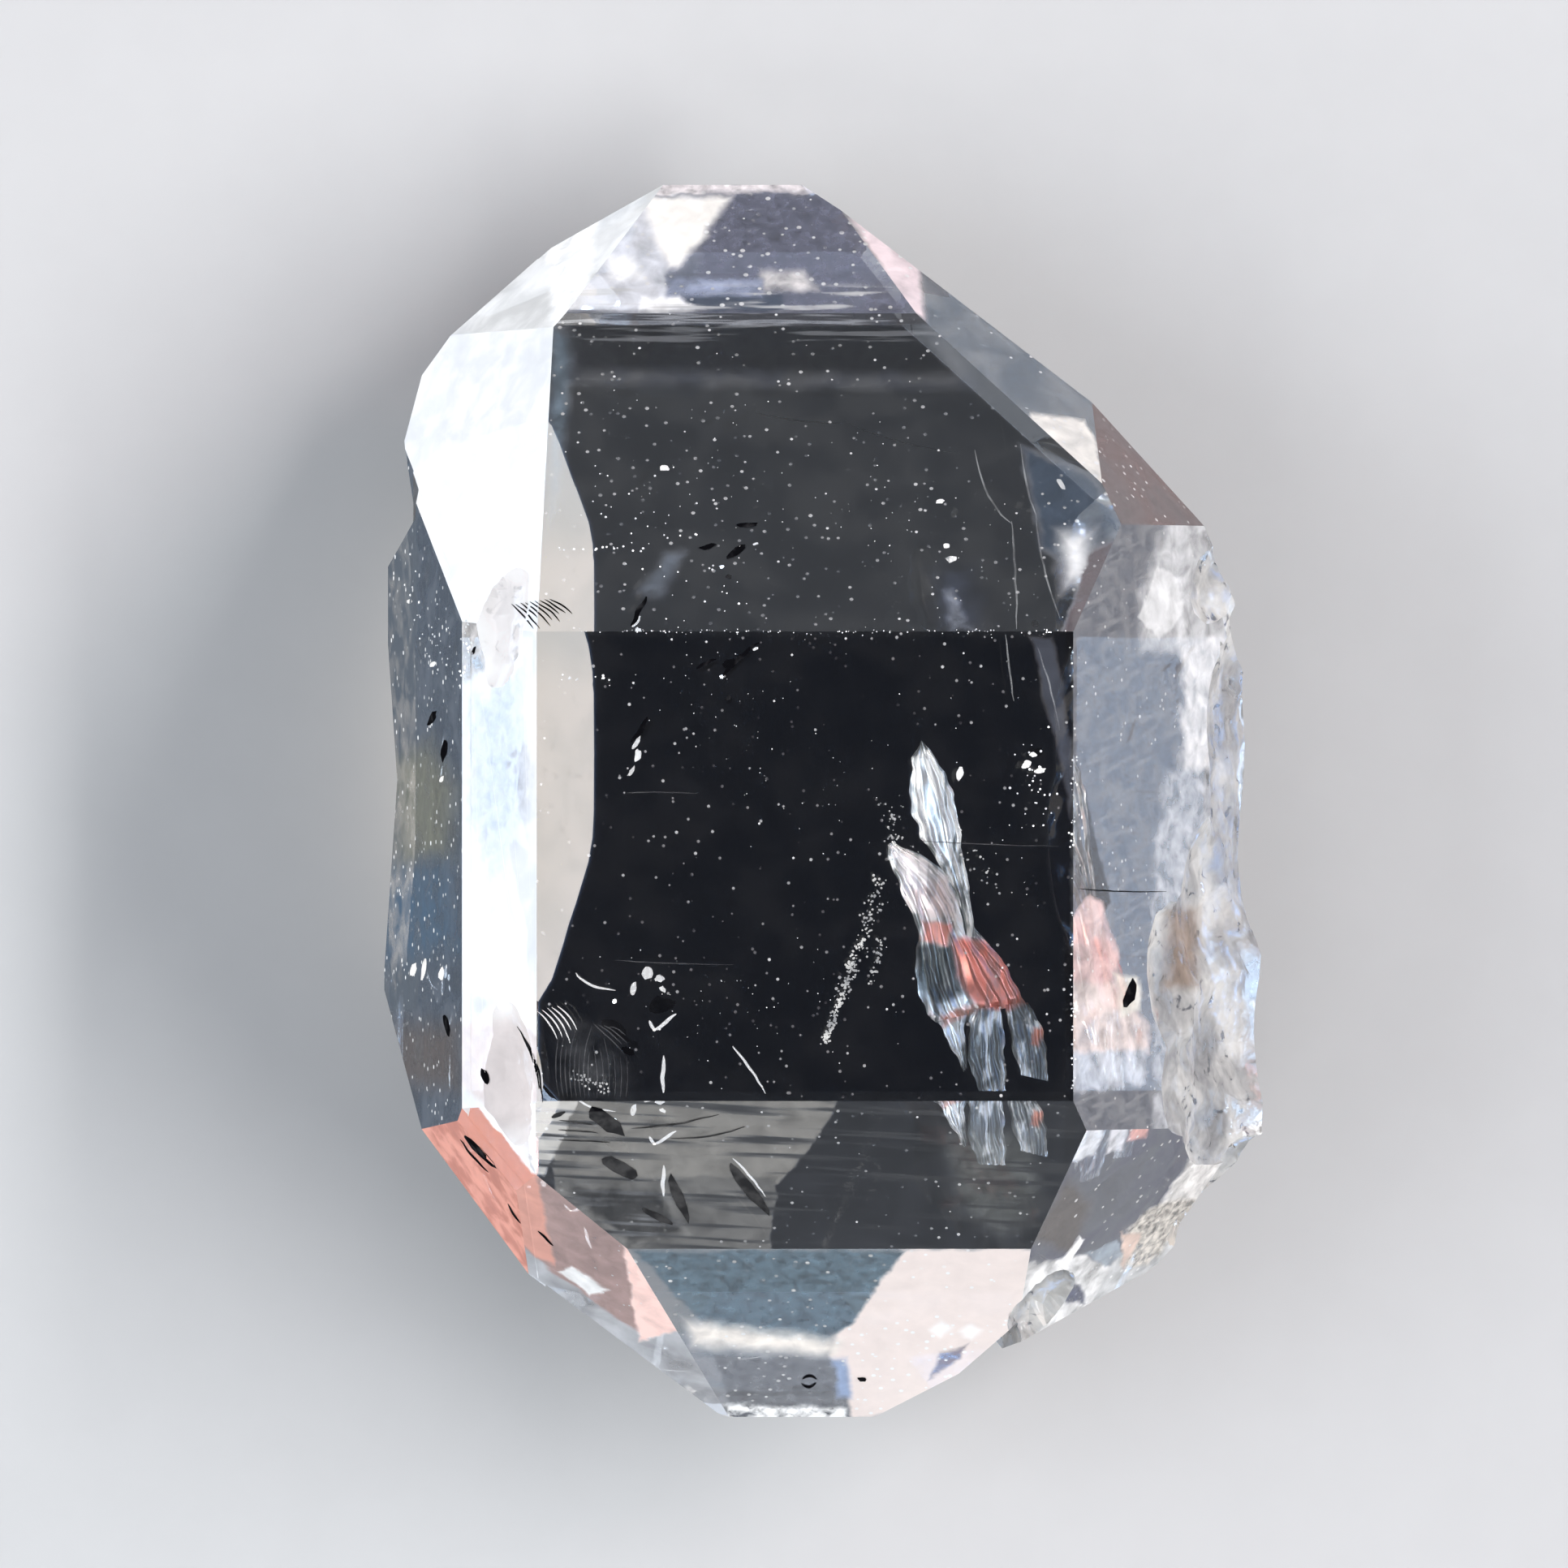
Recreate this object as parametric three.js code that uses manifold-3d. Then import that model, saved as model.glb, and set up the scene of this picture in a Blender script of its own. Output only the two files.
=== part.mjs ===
// Herkimer diamond: a clear quartz crystal with a pyramid at both ends, 20 mm long, lying on
// one of its six prism faces.
//
// Millimetres. +Y runs along the crystal's long axis to its upper tip, +X across it, and +Z up
// from the prism face that it rests on. The origin is the middle of the box round it, at the
// height of that face.
//
// Quartz grows flat faces in fixed directions. Each face is given by its turn about the long
// axis (0 looks up, 90 to +X), its rise from the prism towards the upper tip, and its reach,
// the distance of its plane from the heart of the crystal. A body is a block that is cleaved
// along all of its planes. Lobes that grew parallel to the main body share its faces, apart
// from those that they name. Quartz breaks in shells, so what broke away is a slab with an
// underside of ribbed hollows that meet in ridges.

import * as THREE from 'three';
import { mergeVertices } from 'three/addons/utils/BufferGeometryUtils.js';
import Module from 'manifold-3d';

// Driving dimensions
const THICKNESS = 9.0; // between the front and rear prism faces
const PRISM_STEP = 60; // turn from one prism face to the next
const PYRAMID_RISE = 38.2; // of quartz's pyramid faces
const HEART = new THREE.Vector3(0, 0, THICKNESS / 2);
const BLOCK = 60; // side of the blocks that faces are cleaved from
const SHY = 0.02; // how far a lobe's shared faces lie inside the main body's
const SLAB = 4; // thickness of what a break takes away
const RIB = 0.03; // height of the ribs in a broken surface
const RIB_FACETS = 5; // from one rib to the next
const JITTER = 0.3; // how far a broken surface's corners stray, in facets
const SCATTER = 37; // radians per mm, fast enough that neighbouring corners stray apart
const STRIKE_SPREAD = 0.7; // how far across a break its shells start, as a share of its width
const LIP_SHARPNESS = 8; // how late a break's underside turns up to its round rim
const RIM = 0.01; // how near a slab's side a corner is kept straight
const WELD = 1e-5; // corners nearer than this are one

const UP = PYRAMID_RISE;
const DOWN = -PYRAMID_RISE;
const REAR_LEFT = -2 * PRISM_STEP;
const REAR_RIGHT = 2 * PRISM_STEP;

// The main body: the upper pyramid first, then the prism, then the lower pyramid.
const MAIN_FACES = {
  crownFront: { turn: 0, rise: 45.3, reach: 5.92 },
  crownLeft: { turn: -59, rise: 49, reach: 8.43 },
  crownRight: { turn: 32, rise: 51, reach: 6.86 },
  upperFront: { turn: 0, rise: UP, reach: 5.23 },
  upperLeft: { turn: -58, rise: 24.5, reach: 6.83 },
  upperRight: { turn: PRISM_STEP, rise: UP, reach: 7.22 },
  upperRear: { turn: 180, rise: UP, reach: 7.5 },
  upperRearLeft: { turn: REAR_LEFT, rise: UP, reach: 9.53 },
  upperRearRight: { turn: REAR_RIGHT, rise: UP, reach: 6.6 },
  front: { turn: 0, rise: 0, reach: THICKNESS / 2 },
  left: { turn: -PRISM_STEP, rise: 0, reach: 6.21 },
  leftFlank: { turn: -75, rise: 0, reach: 6.13 },
  right: { turn: PRISM_STEP, rise: 0, reach: 5.68 },
  rearLeft: { turn: REAR_LEFT, rise: 0, reach: 6.24 },
  rearRight: { turn: REAR_RIGHT, rise: 0, reach: 6.7 },
  rear: { turn: 180, rise: 0, reach: THICKNESS / 2 },
  lowerFront: { turn: 0, rise: DOWN, reach: 6.46 },
  lowerLeft: { turn: -59, rise: -22, reach: 7.57 },
  lowerLeftFlank: { turn: -72.5, rise: -32, reach: 7.88 },
  lowerRight: { turn: PRISM_STEP, rise: DOWN, reach: 7.68 },
  lowerRear: { turn: 180, rise: DOWN, reach: 6.9 },
  lowerRearLeft: { turn: REAR_LEFT, rise: DOWN, reach: 7.65 },
  lowerRearRight: { turn: REAR_RIGHT, rise: DOWN, reach: 8.85 },
  footFront: { turn: 0, rise: -52.5, reach: 7.24 },
  footLeft: { turn: -39.5, rise: -54, reach: 8.12 },
  footRight: { turn: 90, rise: -62, reach: 9.12 },
  footTip: { turn: 125, rise: -57, reach: 9.09 },
};

// Lobes on the left flank, by the faces that are their own.
const LOBES = {
  shoulder: {
    upperRearLeft: { turn: REAR_LEFT, rise: UP, reach: 9.6 },
    rearLeft: { turn: REAR_LEFT, rise: 0, reach: 6.76 },
    under: { turn: -97, rise: -13, reach: 5.46 },
    keel: { turn: -150, rise: 0, reach: 5.65 },
    inner: { turn: 90, rise: 0, reach: -4.6 },
  },
  upperFlange: {
    leftFlank: { turn: -75, rise: 0, reach: 6.17 },
    over: { turn: -100, rise: 45, reach: 7.95 },
    rearLeft: { turn: REAR_LEFT, rise: 0, reach: 7.4 },
    under: { turn: -97, rise: -6, reach: 7.02 },
    keel: { turn: -150, rise: 0, reach: 6.0 },
    inner: { turn: 90, rise: 0, reach: -5 },
  },
  lowerFlange: {
    leftFlank: { turn: -75, rise: 0, reach: 6.22 },
    over: { turn: -97, rise: 6, reach: 7.07 },
    rearLeft: { turn: REAR_LEFT, rise: 0, reach: 7.47 },
    under: { turn: -97, rise: -19, reach: 8.17 },
    lowerLeftFlank: { turn: -72.5, rise: -32, reach: 7.98 },
    lowerRearLeft: { turn: REAR_LEFT, rise: DOWN, reach: 7.74 },
    keel: { turn: -150, rise: 0, reach: 5.9 },
    inner: { turn: 90, rise: 0, reach: -4.45 },
  },
};

// What is missing at the foot: all beyond the slope, as far right as the end face.
const FOOT_NOTCH = {
  slope: { turn: -90, rise: 48, reach: -8.27 },
  end: { turn: 100, rise: 10, reach: 1.5 },
};

// Places where the crystal broke or chipped, each as a plane that is turned like a face: its
// middle, its width and length, how deep it goes, how many shells it broke in, the radius of
// their hollows, and the size of its facets.
const BREAKS = {
  rearLeftEdge: {
    turn: -132, rise: 0, at: [-4.7, 0.8, 0.1], size: [5, 11],
    sunk: 0.7, shells: 1, round: 12.5, grain: 0.45,
  },
  rearRightEdge: {
    turn: 152, rise: 4, at: [4.75, -1.0, 0.15], size: [4, 9],
    sunk: 0.35, shells: 3, round: 6, grain: 0.45,
  },
  rightFlank: {
    turn: 70, rise: 0, at: [6.12, -1.7, 4.6], size: [7.2, 13],
    sunk: 0.2, shells: 13, round: 2.4, grain: 0.3,
  },
  lowerRightRim: {
    turn: 96, rise: -40, at: [6.1, -6.3, 3.7], size: [3, 3.6],
    sunk: 0.16, shells: 7, round: 1, grain: 0.22,
  },
  footLump: {
    turn: 62, rise: -50, at: [3.4, -7.9, 5.3], size: [1.9, 1.7],
    sunk: 0.22, shells: 6, round: 0.7, grain: 0.15,
  },
  footEdge: {
    turn: 170, rise: -82, at: [-0.7, -9.94, 3.4], size: [3, 2.4],
    sunk: 0.14, shells: 6, round: 1, grain: 0.2,
  },
  crownEdge: {
    turn: 180, rise: 80, at: [-1.3, 9.95, 4.1], size: [3.4, 2],
    sunk: 0.1, shells: 6, round: 1.2, grain: 0.2,
  },
  upperLeftChip: {
    turn: -60, rise: 12, at: [-5.1, 2.75, 7.8], size: [2, 2.8],
    sunk: 0.16, shells: 3, round: 1.5, grain: 0.14,
  },
  lowerLeftChip: {
    turn: -60, rise: -10, at: [-5.0, -4.2, 7.95], size: [2.4, 3.2],
    sunk: 0.16, shells: 3, round: 1.8, grain: 0.16,
  },
};

const wasm = await Module();
wasm.setup();

/** A closed geometry as a solid that can be joined and cut. */
function toSolid(geometry) {
  const bare = geometry.clone();
  bare.deleteAttribute('normal');
  bare.deleteAttribute('uv');
  const merged = mergeVertices(bare, WELD);
  const corners = merged.index.array;
  const triangles = [];
  for (let i = 0; i < corners.length; i += 3) {
    const [a, b, c] = corners.slice(i, i + 3);
    if (a !== b && b !== c && c !== a) {
      triangles.push(a, b, c);
    }
  }
  return new wasm.Manifold(new wasm.Mesh({
    numProp: 3,
    vertProperties: new Float32Array(merged.attributes.position.array),
    triVerts: new Uint32Array(triangles),
  }));
}

/** A solid as a geometry. */
function toGeometry(solid) {
  const mesh = solid.getMesh();
  const geometry = new THREE.BufferGeometry();
  geometry.setAttribute('position', new THREE.BufferAttribute(mesh.vertProperties, 3));
  geometry.setIndex(new THREE.BufferAttribute(mesh.triVerts, 1));
  return geometry;
}

/** Turns a geometry whose outward direction is +Z to a face's direction. */
function facing(geometry, { turn, rise }) {
  geometry.rotateX(-THREE.MathUtils.degToRad(rise));
  geometry.rotateY(THREE.MathUtils.degToRad(turn));
  return geometry;
}

/** A body bounded by flat faces: a block cleaved along each of their planes. */
function cleaved(faces, shy = 0) {
  let body = toSolid(new THREE.BoxGeometry(BLOCK, BLOCK, BLOCK));
  for (const plane of Object.values(faces)) {
    const beyond = new THREE.BoxGeometry(BLOCK, BLOCK, BLOCK);
    beyond.translate(0, 0, BLOCK / 2 + plane.reach - shy);
    body = body.subtract(toSolid(facing(beyond, plane)));
  }
  return body.translate(HEART.toArray());
}

/** Where the shells of a break start, and how far each lifts out of it. */
function strikesOf(gap, seed) {
  const [width, length] = gap.size;
  THREE.MathUtils.seededRandom(seed);
  const strikes = [];
  for (let i = 0; i < gap.shells; i += 1) {
    const across = THREE.MathUtils.seededRandom() - 0.5;
    const along = (i + 0.5) / gap.shells - 0.5;
    const lift = THREE.MathUtils.seededRandom() * gap.sunk;
    const x = gap.shells > 1 ? across * width * STRIKE_SPREAD : 0;
    strikes.push({ x, y: along * length, lift });
  }
  return strikes;
}

/** Height of a break's underside: the lowest of its shells, with ribs round their starts. */
function shellHeight(x, y, gap, strikes) {
  const ribPitch = 2 * Math.PI / (RIB_FACETS * gap.grain);
  const heights = strikes.map((strike) => {
    const away = Math.hypot(x - strike.x, y - strike.y);
    return away * away / (2 * gap.round) + RIB * Math.sin(away * ribPitch) - strike.lift;
  });
  return Math.min(...heights) - gap.sunk / 2;
}

/** The solid that a break takes away: a slab whose underside is hollowed by shells. */
function broken(gap, seed) {
  const [width, length] = gap.size;
  const across = Math.round(width / gap.grain);
  const along = Math.round(length / gap.grain);
  const slab = new THREE.BoxGeometry(width, length, SLAB, across, along, 1);
  const strikes = strikesOf(gap, seed);
  const corners = slab.attributes.position;
  for (let i = 0; i < corners.count; i += 1) {
    const u = corners.getX(i);
    const v = corners.getY(i);
    const isUnder = corners.getZ(i) < 0;
    const isRim = width / 2 - Math.abs(u) < RIM || length / 2 - Math.abs(v) < RIM;
    if (isUnder) {
      const stray = isRim ? 0 : JITTER * gap.grain;
      const x = u + stray * Math.sin(SCATTER * (v + u / 3));
      const y = v + stray * Math.sin(SCATTER * (u - v / 2));
      const lip = Math.hypot(x * 2 / width, y * 2 / length) ** LIP_SHARPNESS;
      corners.setXYZ(i, x, y, shellHeight(x, y, gap, strikes) + Math.min(lip, SLAB / 2));
    } else {
      corners.setZ(i, SLAB);
    }
  }
  facing(slab, gap);
  slab.translate(...gap.at);
  return toSolid(slab);
}

let body = cleaved(MAIN_FACES);
for (const own of Object.values(LOBES)) {
  body = body.add(cleaved({ ...MAIN_FACES, ...own }, SHY));
}
body = body.subtract(cleaved(FOOT_NOTCH));
Object.values(BREAKS).forEach((gap, index) => {
  body = body.subtract(broken(gap, index + 1));
});

const geometry = toGeometry(body);
geometry.computeBoundingBox();
const middle = geometry.boundingBox.getCenter(new THREE.Vector3());
geometry.translate(-middle.x, -middle.y, 0);

const quartz = new THREE.MeshStandardMaterial({ color: 0xd9dde2, roughness: 0.08, metalness: 0 });
const crystal = new THREE.Mesh(geometry, quartz);
crystal.name = 'crystal';

const herkimer = new THREE.Group();
herkimer.add(crystal);

export default herkimer;
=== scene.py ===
"""Looks of a Herkimer diamond: its clear quartz, what grew and cracked inside it, and a studio.

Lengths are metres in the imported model's frame: +Y runs along the crystal, +X across it, and
+Z up from the floor that it lies on. Places and sizes are written in millimetres and scaled
by MM where they are used.
"""

import logging
import math
import random
from collections import defaultdict
from dataclasses import dataclass, field
from enum import Enum, IntEnum
from typing import Any, Iterable

import bmesh
import bpy
from bmesh.types import BMesh, BMFace, BMVert
from bpy.types import Material, Node, NodeSocket, Object
from mathutils import Matrix, Vector, noise
from mathutils.bvhtree import BVHTree


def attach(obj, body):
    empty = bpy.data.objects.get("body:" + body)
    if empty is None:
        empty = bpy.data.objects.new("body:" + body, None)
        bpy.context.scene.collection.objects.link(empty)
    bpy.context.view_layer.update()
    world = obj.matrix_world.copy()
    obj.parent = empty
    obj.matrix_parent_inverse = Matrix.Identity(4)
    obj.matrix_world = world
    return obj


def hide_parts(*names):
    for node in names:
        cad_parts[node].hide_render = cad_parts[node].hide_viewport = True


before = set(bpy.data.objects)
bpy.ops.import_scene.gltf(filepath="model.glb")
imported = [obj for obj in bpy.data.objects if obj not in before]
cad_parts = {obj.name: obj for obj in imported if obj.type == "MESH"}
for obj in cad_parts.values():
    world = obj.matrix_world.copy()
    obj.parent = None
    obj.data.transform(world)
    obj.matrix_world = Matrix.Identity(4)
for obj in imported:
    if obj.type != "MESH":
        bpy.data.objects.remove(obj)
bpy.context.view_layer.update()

MM = 0.001
BODY = "root"
LOG = logging.getLogger("herkimer")
SEED = 5
SAME_WAY = 3.0  # degrees within which a face counts as facing a way
FULL_SWING = 4  # makes a noise pattern's usual range a whole one
WATTS_PER_RADIANCE = 4  # of an area light, per square metre

Value = Any
Colour = tuple[float, float, float]
Point = tuple[float, float]
Curve = tuple[Point, Point, Point]  # mm: its start, its bend and its end

WHITE: Colour = (0.95, 0.95, 0.94)
PEARL: Colour = (0.80, 0.82, 0.86)
CREAM: Colour = (0.93, 0.90, 0.84)
SLATE: Colour = (0.42, 0.45, 0.55)
SALMON: Colour = (0.92, 0.50, 0.40)
UMBER: Colour = (0.42, 0.33, 0.27)
# painted shade: near black, laid where the crystal looks dark
SHADE_BLACK: Colour = (0.02, 0.02, 0.025)


def heading(turn: float, rise: float) -> Vector:
    """The direction at so many degrees from +X towards +Y, and above the floor."""
    turn, rise = math.radians(turn), math.radians(rise)
    flat = math.cos(rise)
    return Vector((math.cos(turn) * flat, math.sin(turn) * flat, math.sin(rise)))


# Shader maths


@dataclass(frozen=True)
class Wire:
    """An output socket, on which an expression adds Math nodes."""

    shader: "Shader"
    socket: NodeSocket

    def maths(self, operation: str, *values: Value) -> "Wire":
        """Adds a Math node.

        Args:
            operation: The Math node's operation.
            values: Its inputs in order.

        Returns:
            The node's output.
        """
        return self.shader.add("Math", {"operation": operation}, dict(enumerate(values)))

    def __add__(self, other: Value) -> "Wire":
        """This value plus the other."""
        return self.maths("ADD", self, other)

    __radd__ = __add__

    def __sub__(self, other: Value) -> "Wire":
        """This value less the other."""
        return self.maths("SUBTRACT", self, other)

    def __rsub__(self, other: Value) -> "Wire":
        """The other less this value."""
        return self.maths("SUBTRACT", other, self)

    def __mul__(self, other: Value) -> "Wire":
        """This value times the other."""
        return self.maths("MULTIPLY", self, other)

    __rmul__ = __mul__

    def least(self, other: Value) -> "Wire":
        """The smaller of this value and the other."""
        return self.maths("MINIMUM", self, other)

    def most(self, other: Value) -> "Wire":
        """The larger of this value and the other."""
        return self.maths("MAXIMUM", self, other)

    def towards(self, other: Value, share: Value) -> "Wire":
        """This value moved towards the other by a share."""
        return self + (other - self) * share

    def ramp(self, low: float, high: float) -> "Wire":
        """A smooth step.

        Args:
            low: The value that gives 0.
            high: The value that gives 1. It may be under low.

        Returns:
            The step, from 0 to 1.
        """
        settings = {"interpolation_type": "SMOOTHSTEP"}
        values = {"Value": self, "From Min": low, "From Max": high}
        return self.shader.add("MapRange", settings, values)


class Shader:
    """A material's nodes."""

    def __init__(self, name: str) -> None:
        """Starts a material that has only its output.

        Args:
            name: The material's name.
        """
        self.material = bpy.data.materials.new(name)
        self.material.use_nodes = True
        self.tree = self.material.node_tree
        self.tree.nodes.clear()
        self.out = self.tree.nodes.new("ShaderNodeOutputMaterial")
        self.made: dict[tuple[Any, ...], Node] = {}

    def plug(self, socket: NodeSocket, value: Value) -> None:
        """Links a wire to a socket, or sets its value."""
        if isinstance(value, Wire):
            self.tree.links.new(value.socket, socket)
        elif isinstance(value, tuple) and len(value) == 3 and socket.type == "RGBA":
            socket.default_value = (*value, 1.0)
        else:
            socket.default_value = value

    def add(self, kind: str, settings: dict[str, Any], values: dict[Any, Value],
            output: Any = 0) -> Wire:
        """Adds any node, or finds the one that was added with the same inputs.

        Args:
            kind: The node's type, without its ShaderNode prefix.
            settings: Its settings, which are set first.
            values: Its inputs, by name or place, as wires or values.
            output: The name or place of the output to return.

        Returns:
            That output.
        """
        recipe = (kind, *settings.items(), *values.items())
        if recipe not in self.made:
            node = self.made[recipe] = self.tree.nodes.new("ShaderNode" + kind)
            for key, setting in settings.items():
                setattr(node, key, setting)
            for key, value in values.items():
                self.plug(node.inputs[key], value)
        return Wire(self, self.made[recipe].outputs[output])

    def place(self, scale: tuple[float, float, float] = (1, 1, 1),
              turn: tuple[float, float, float] = (0, 0, 0)) -> Wire:
        """Object coordinates in millimetres, turned and then scaled for a pattern."""
        coords = self.add("TexCoord", {}, {}, "Object")
        turned = self.add("Mapping", {}, {"Vector": coords, "Rotation": turn})
        stretch = tuple(s / MM for s in scale)
        return self.add("Mapping", {}, {"Vector": turned, "Scale": stretch})

    def noise(self, per_mm: float, detail: float, warp: float = 0.0,
              place: Wire | None = None) -> Wire:
        """A noise pattern from 0 to 1.

        Args:
            per_mm: Its waves per millimetre.
            detail: How many finer ones it has.
            warp: How far they are pushed about.
            place: Where it lies, if not on the object's own coordinates.

        Returns:
            The pattern.
        """
        values = {"Vector": place or self.place(), "Scale": per_mm, "Detail": detail,
                  "Distortion": warp}
        return self.add("TexNoise", {}, values)

    def clouds(self, share: float, mottle: float, per_mm: float) -> tuple[Wire, Wire]:
        """How much a film covers, in soft clouds.

        Args:
            share: How much it covers on the whole.
            mottle: How much that varies.
            per_mm: The clouds per millimetre.

        Returns:
            The share that it covers, and the pattern of the clouds.
        """
        pattern = self.noise(per_mm, detail=5.0, warp=0.4)
        return (pattern - 0.5) * (mottle * FULL_SWING * share) + share, pattern

    def cells(self, per_mm: float) -> Wire:
        """How far a point is from the nearest of many scattered points, in their spacing."""
        return self.add("TexVoronoi", {}, {"Vector": self.place(), "Scale": per_mm})

    def blend(self, share: Value, first: Value, second: Value) -> Wire:
        """A colour between two, by a share."""
        return self.add("Mix", {"data_type": "RGBA"}, {0: share, 6: first, 7: second}, 2)

    def surface(self, **values: Value) -> Wire:
        """A Principled shader with the given sockets, underscores in place of spaces."""
        named = {key.replace("_", " "): value for key, value in values.items()}
        return self.add("BsdfPrincipled", {}, named)

    def film(self, colour: Value, through: float, glow: float, **values: Value) -> Wire:
        """A film that lays colour over the quartz: whitish haze, and painted reflections,
        highlights and shade.

        Args:
            colour: Its colour.
            through: How much of the scattered light comes from behind it.
            glow: The strength of its painted glow, light that it gives out in its own colour.
            values: More of the Principled shader's sockets.

        Returns:
            The shader.
        """
        front = self.surface(Base_Color=colour, Roughness=0.6, Specular_IOR_Level=0.2,
                             Emission_Color=colour, Emission_Strength=glow, **values)
        if not through:
            return front
        behind = self.add("BsdfTranslucent", {}, {"Color": colour})
        return self.mix(through, front, behind)

    def bump(self, height: Wire, share: float, deep: float) -> Wire:
        """A normal that leans with a height.

        Args:
            height: The height, from 0 to 1.
            share: How much of the lean shows.
            deep: Millimetres from a height of 0 to one of 1.

        Returns:
            The normal.
        """
        values = {"Strength": share, "Distance": deep * MM, "Height": height}
        return self.add("Bump", {}, values)

    def mix(self, share: Value, first: Wire, second: Wire) -> Wire:
        """A shader that is partly one and partly another, by a share."""
        return self.add("MixShader", {}, {0: share, 1: first, 2: second})

    def finish(self, surface: Wire, volume: Wire | None = None) -> Material:
        """Plugs the shaders into the output and returns the material."""
        self.plug(self.out.inputs["Surface"], surface)
        if volume:
            self.plug(self.out.inputs["Volume"], volume)
        return self.material


class Layer:
    """A film over a part of another film: painted light, a stain or growth lines."""

    def lay(self, shader: Shader, share: Wire, colour: Wire) -> tuple[Wire, Wire]:
        """Adds the layer to a film.

        Args:
            shader: The material's nodes.
            share: How much the film covers.
            colour: The film's colour.

        Returns:
            The share and the colour with the layer.
        """
        raise NotImplementedError


@dataclass(frozen=True)
class Patch(Layer):
    """A part of a surface that has a film of its own: mostly painted reflections, highlights and
    shade, some stains.
    """

    corners: tuple[Point, ...]  # mm, clockwise as seen from above
    share: float  # how much of the quartz it covers
    colour: Colour
    blur: float = 0.05  # mm, over which it fades out
    mottle: float = 0.3  # how much it varies
    grain: float = 2.6  # its clouds per mm
    wobble: float = 0.2  # mm, of its border
    bends: float = 2.5  # of its border per mm

    def lay(self, shader: Shader, share: Wire, colour: Wire) -> tuple[Wire, Wire]:
        """Adds the patch, with a border that wanders."""
        place = shader.place()
        values = {"Vector": place, "Scale": self.bends, "Detail": 4.0}
        wander = shader.add("TexNoise", {}, values, "Color")
        for operation, values in (("SUBTRACT", {1: (0.5, 0.5, 0.5)}),
                                  ("SCALE", {"Scale": self.wobble}), ("ADD", {1: place})):
            wander = shader.add("VectorMath", {"operation": operation}, {0: wander, **values})
        mask = self.mask(shader, wander)
        own, _ = shader.clouds(self.share, self.mottle, self.grain)
        return share.towards(own, mask), shader.blend(mask, colour, self.colour)

    def mask(self, shader: Shader, place: Wire) -> Wire:
        """The patch's own area: 1 inside it and 0 outside."""
        inside: Wire | None = None
        for (x0, y0), (x1, y1) in zip(self.corners, self.corners[1:] + self.corners[:1]):
            length = math.hypot(x1 - x0, y1 - y0)
            inward = ((y1 - y0) / length, (x0 - x1) / length, 0.0)
            reach = shader.add("VectorMath", {"operation": "DOT_PRODUCT"},
                               {0: place, 1: inward}, 1)
            depth = reach - (inward[0] * x0 + inward[1] * y0)
            inside = depth if inside is None else inside.least(depth)
        return inside.ramp(-self.blur, self.blur)


@dataclass(frozen=True)
class Streaks(Layer):
    """Growth lines that run across the crystal."""

    low: float  # mm along the crystal
    high: float
    share: float
    colour: Colour = WHITE
    per_mm: float = 6.0
    stretch: float = 0.25
    tilt: float = 0.0  # degrees
    fade: float = 0.1  # mm, at either end

    def lay(self, shader: Shader, share: Wire, colour: Wire) -> tuple[Wire, Wire]:
        """Adds the lines."""
        turn = (0.0, 0.0, math.radians(self.tilt))
        spot = shader.place(scale=(self.stretch, self.per_mm, 0.0), turn=turn)
        along = shader.add("SeparateXYZ", {}, {0: shader.place()}, 1)
        band = (along.ramp(self.low - self.fade, self.low + self.fade)
                * along.ramp(self.high + self.fade, self.high - self.fade))
        lines = shader.noise(1.0, detail=2.0, place=spot).ramp(0.5, 0.68) * band
        return share.towards(self.share, lines), shader.blend(lines, colour, self.colour)


# Finishes


@dataclass(frozen=True)
class Quartz:
    """Clear quartz."""

    ior: float = 1.544
    absorbed: Colour = (0.90, 0.94, 0.98)
    density: float = 12.0

    def under(self, film: Wire, share: Wire, roughness: float, normal: Wire) -> Material:
        """Finishes a material as clear quartz with a film on it.

        Args:
            film: The film's shader.
            share: How much it covers.
            roughness: How much the quartz's surface scatters.
            normal: The surface's bumped normal.

        Returns:
            The material.
        """
        shader = film.shader
        clear = shader.surface(Base_Color=(1.0, 1.0, 1.0), Roughness=roughness, IOR=self.ior,
                               Transmission_Weight=1.0, Normal=normal)
        values = {"Color": self.absorbed, "Density": self.density}
        bulk = shader.add("VolumeAbsorption", {}, values)
        return shader.finish(shader.mix(share.most(0.0).least(1.0), clear, film), bulk)


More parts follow.
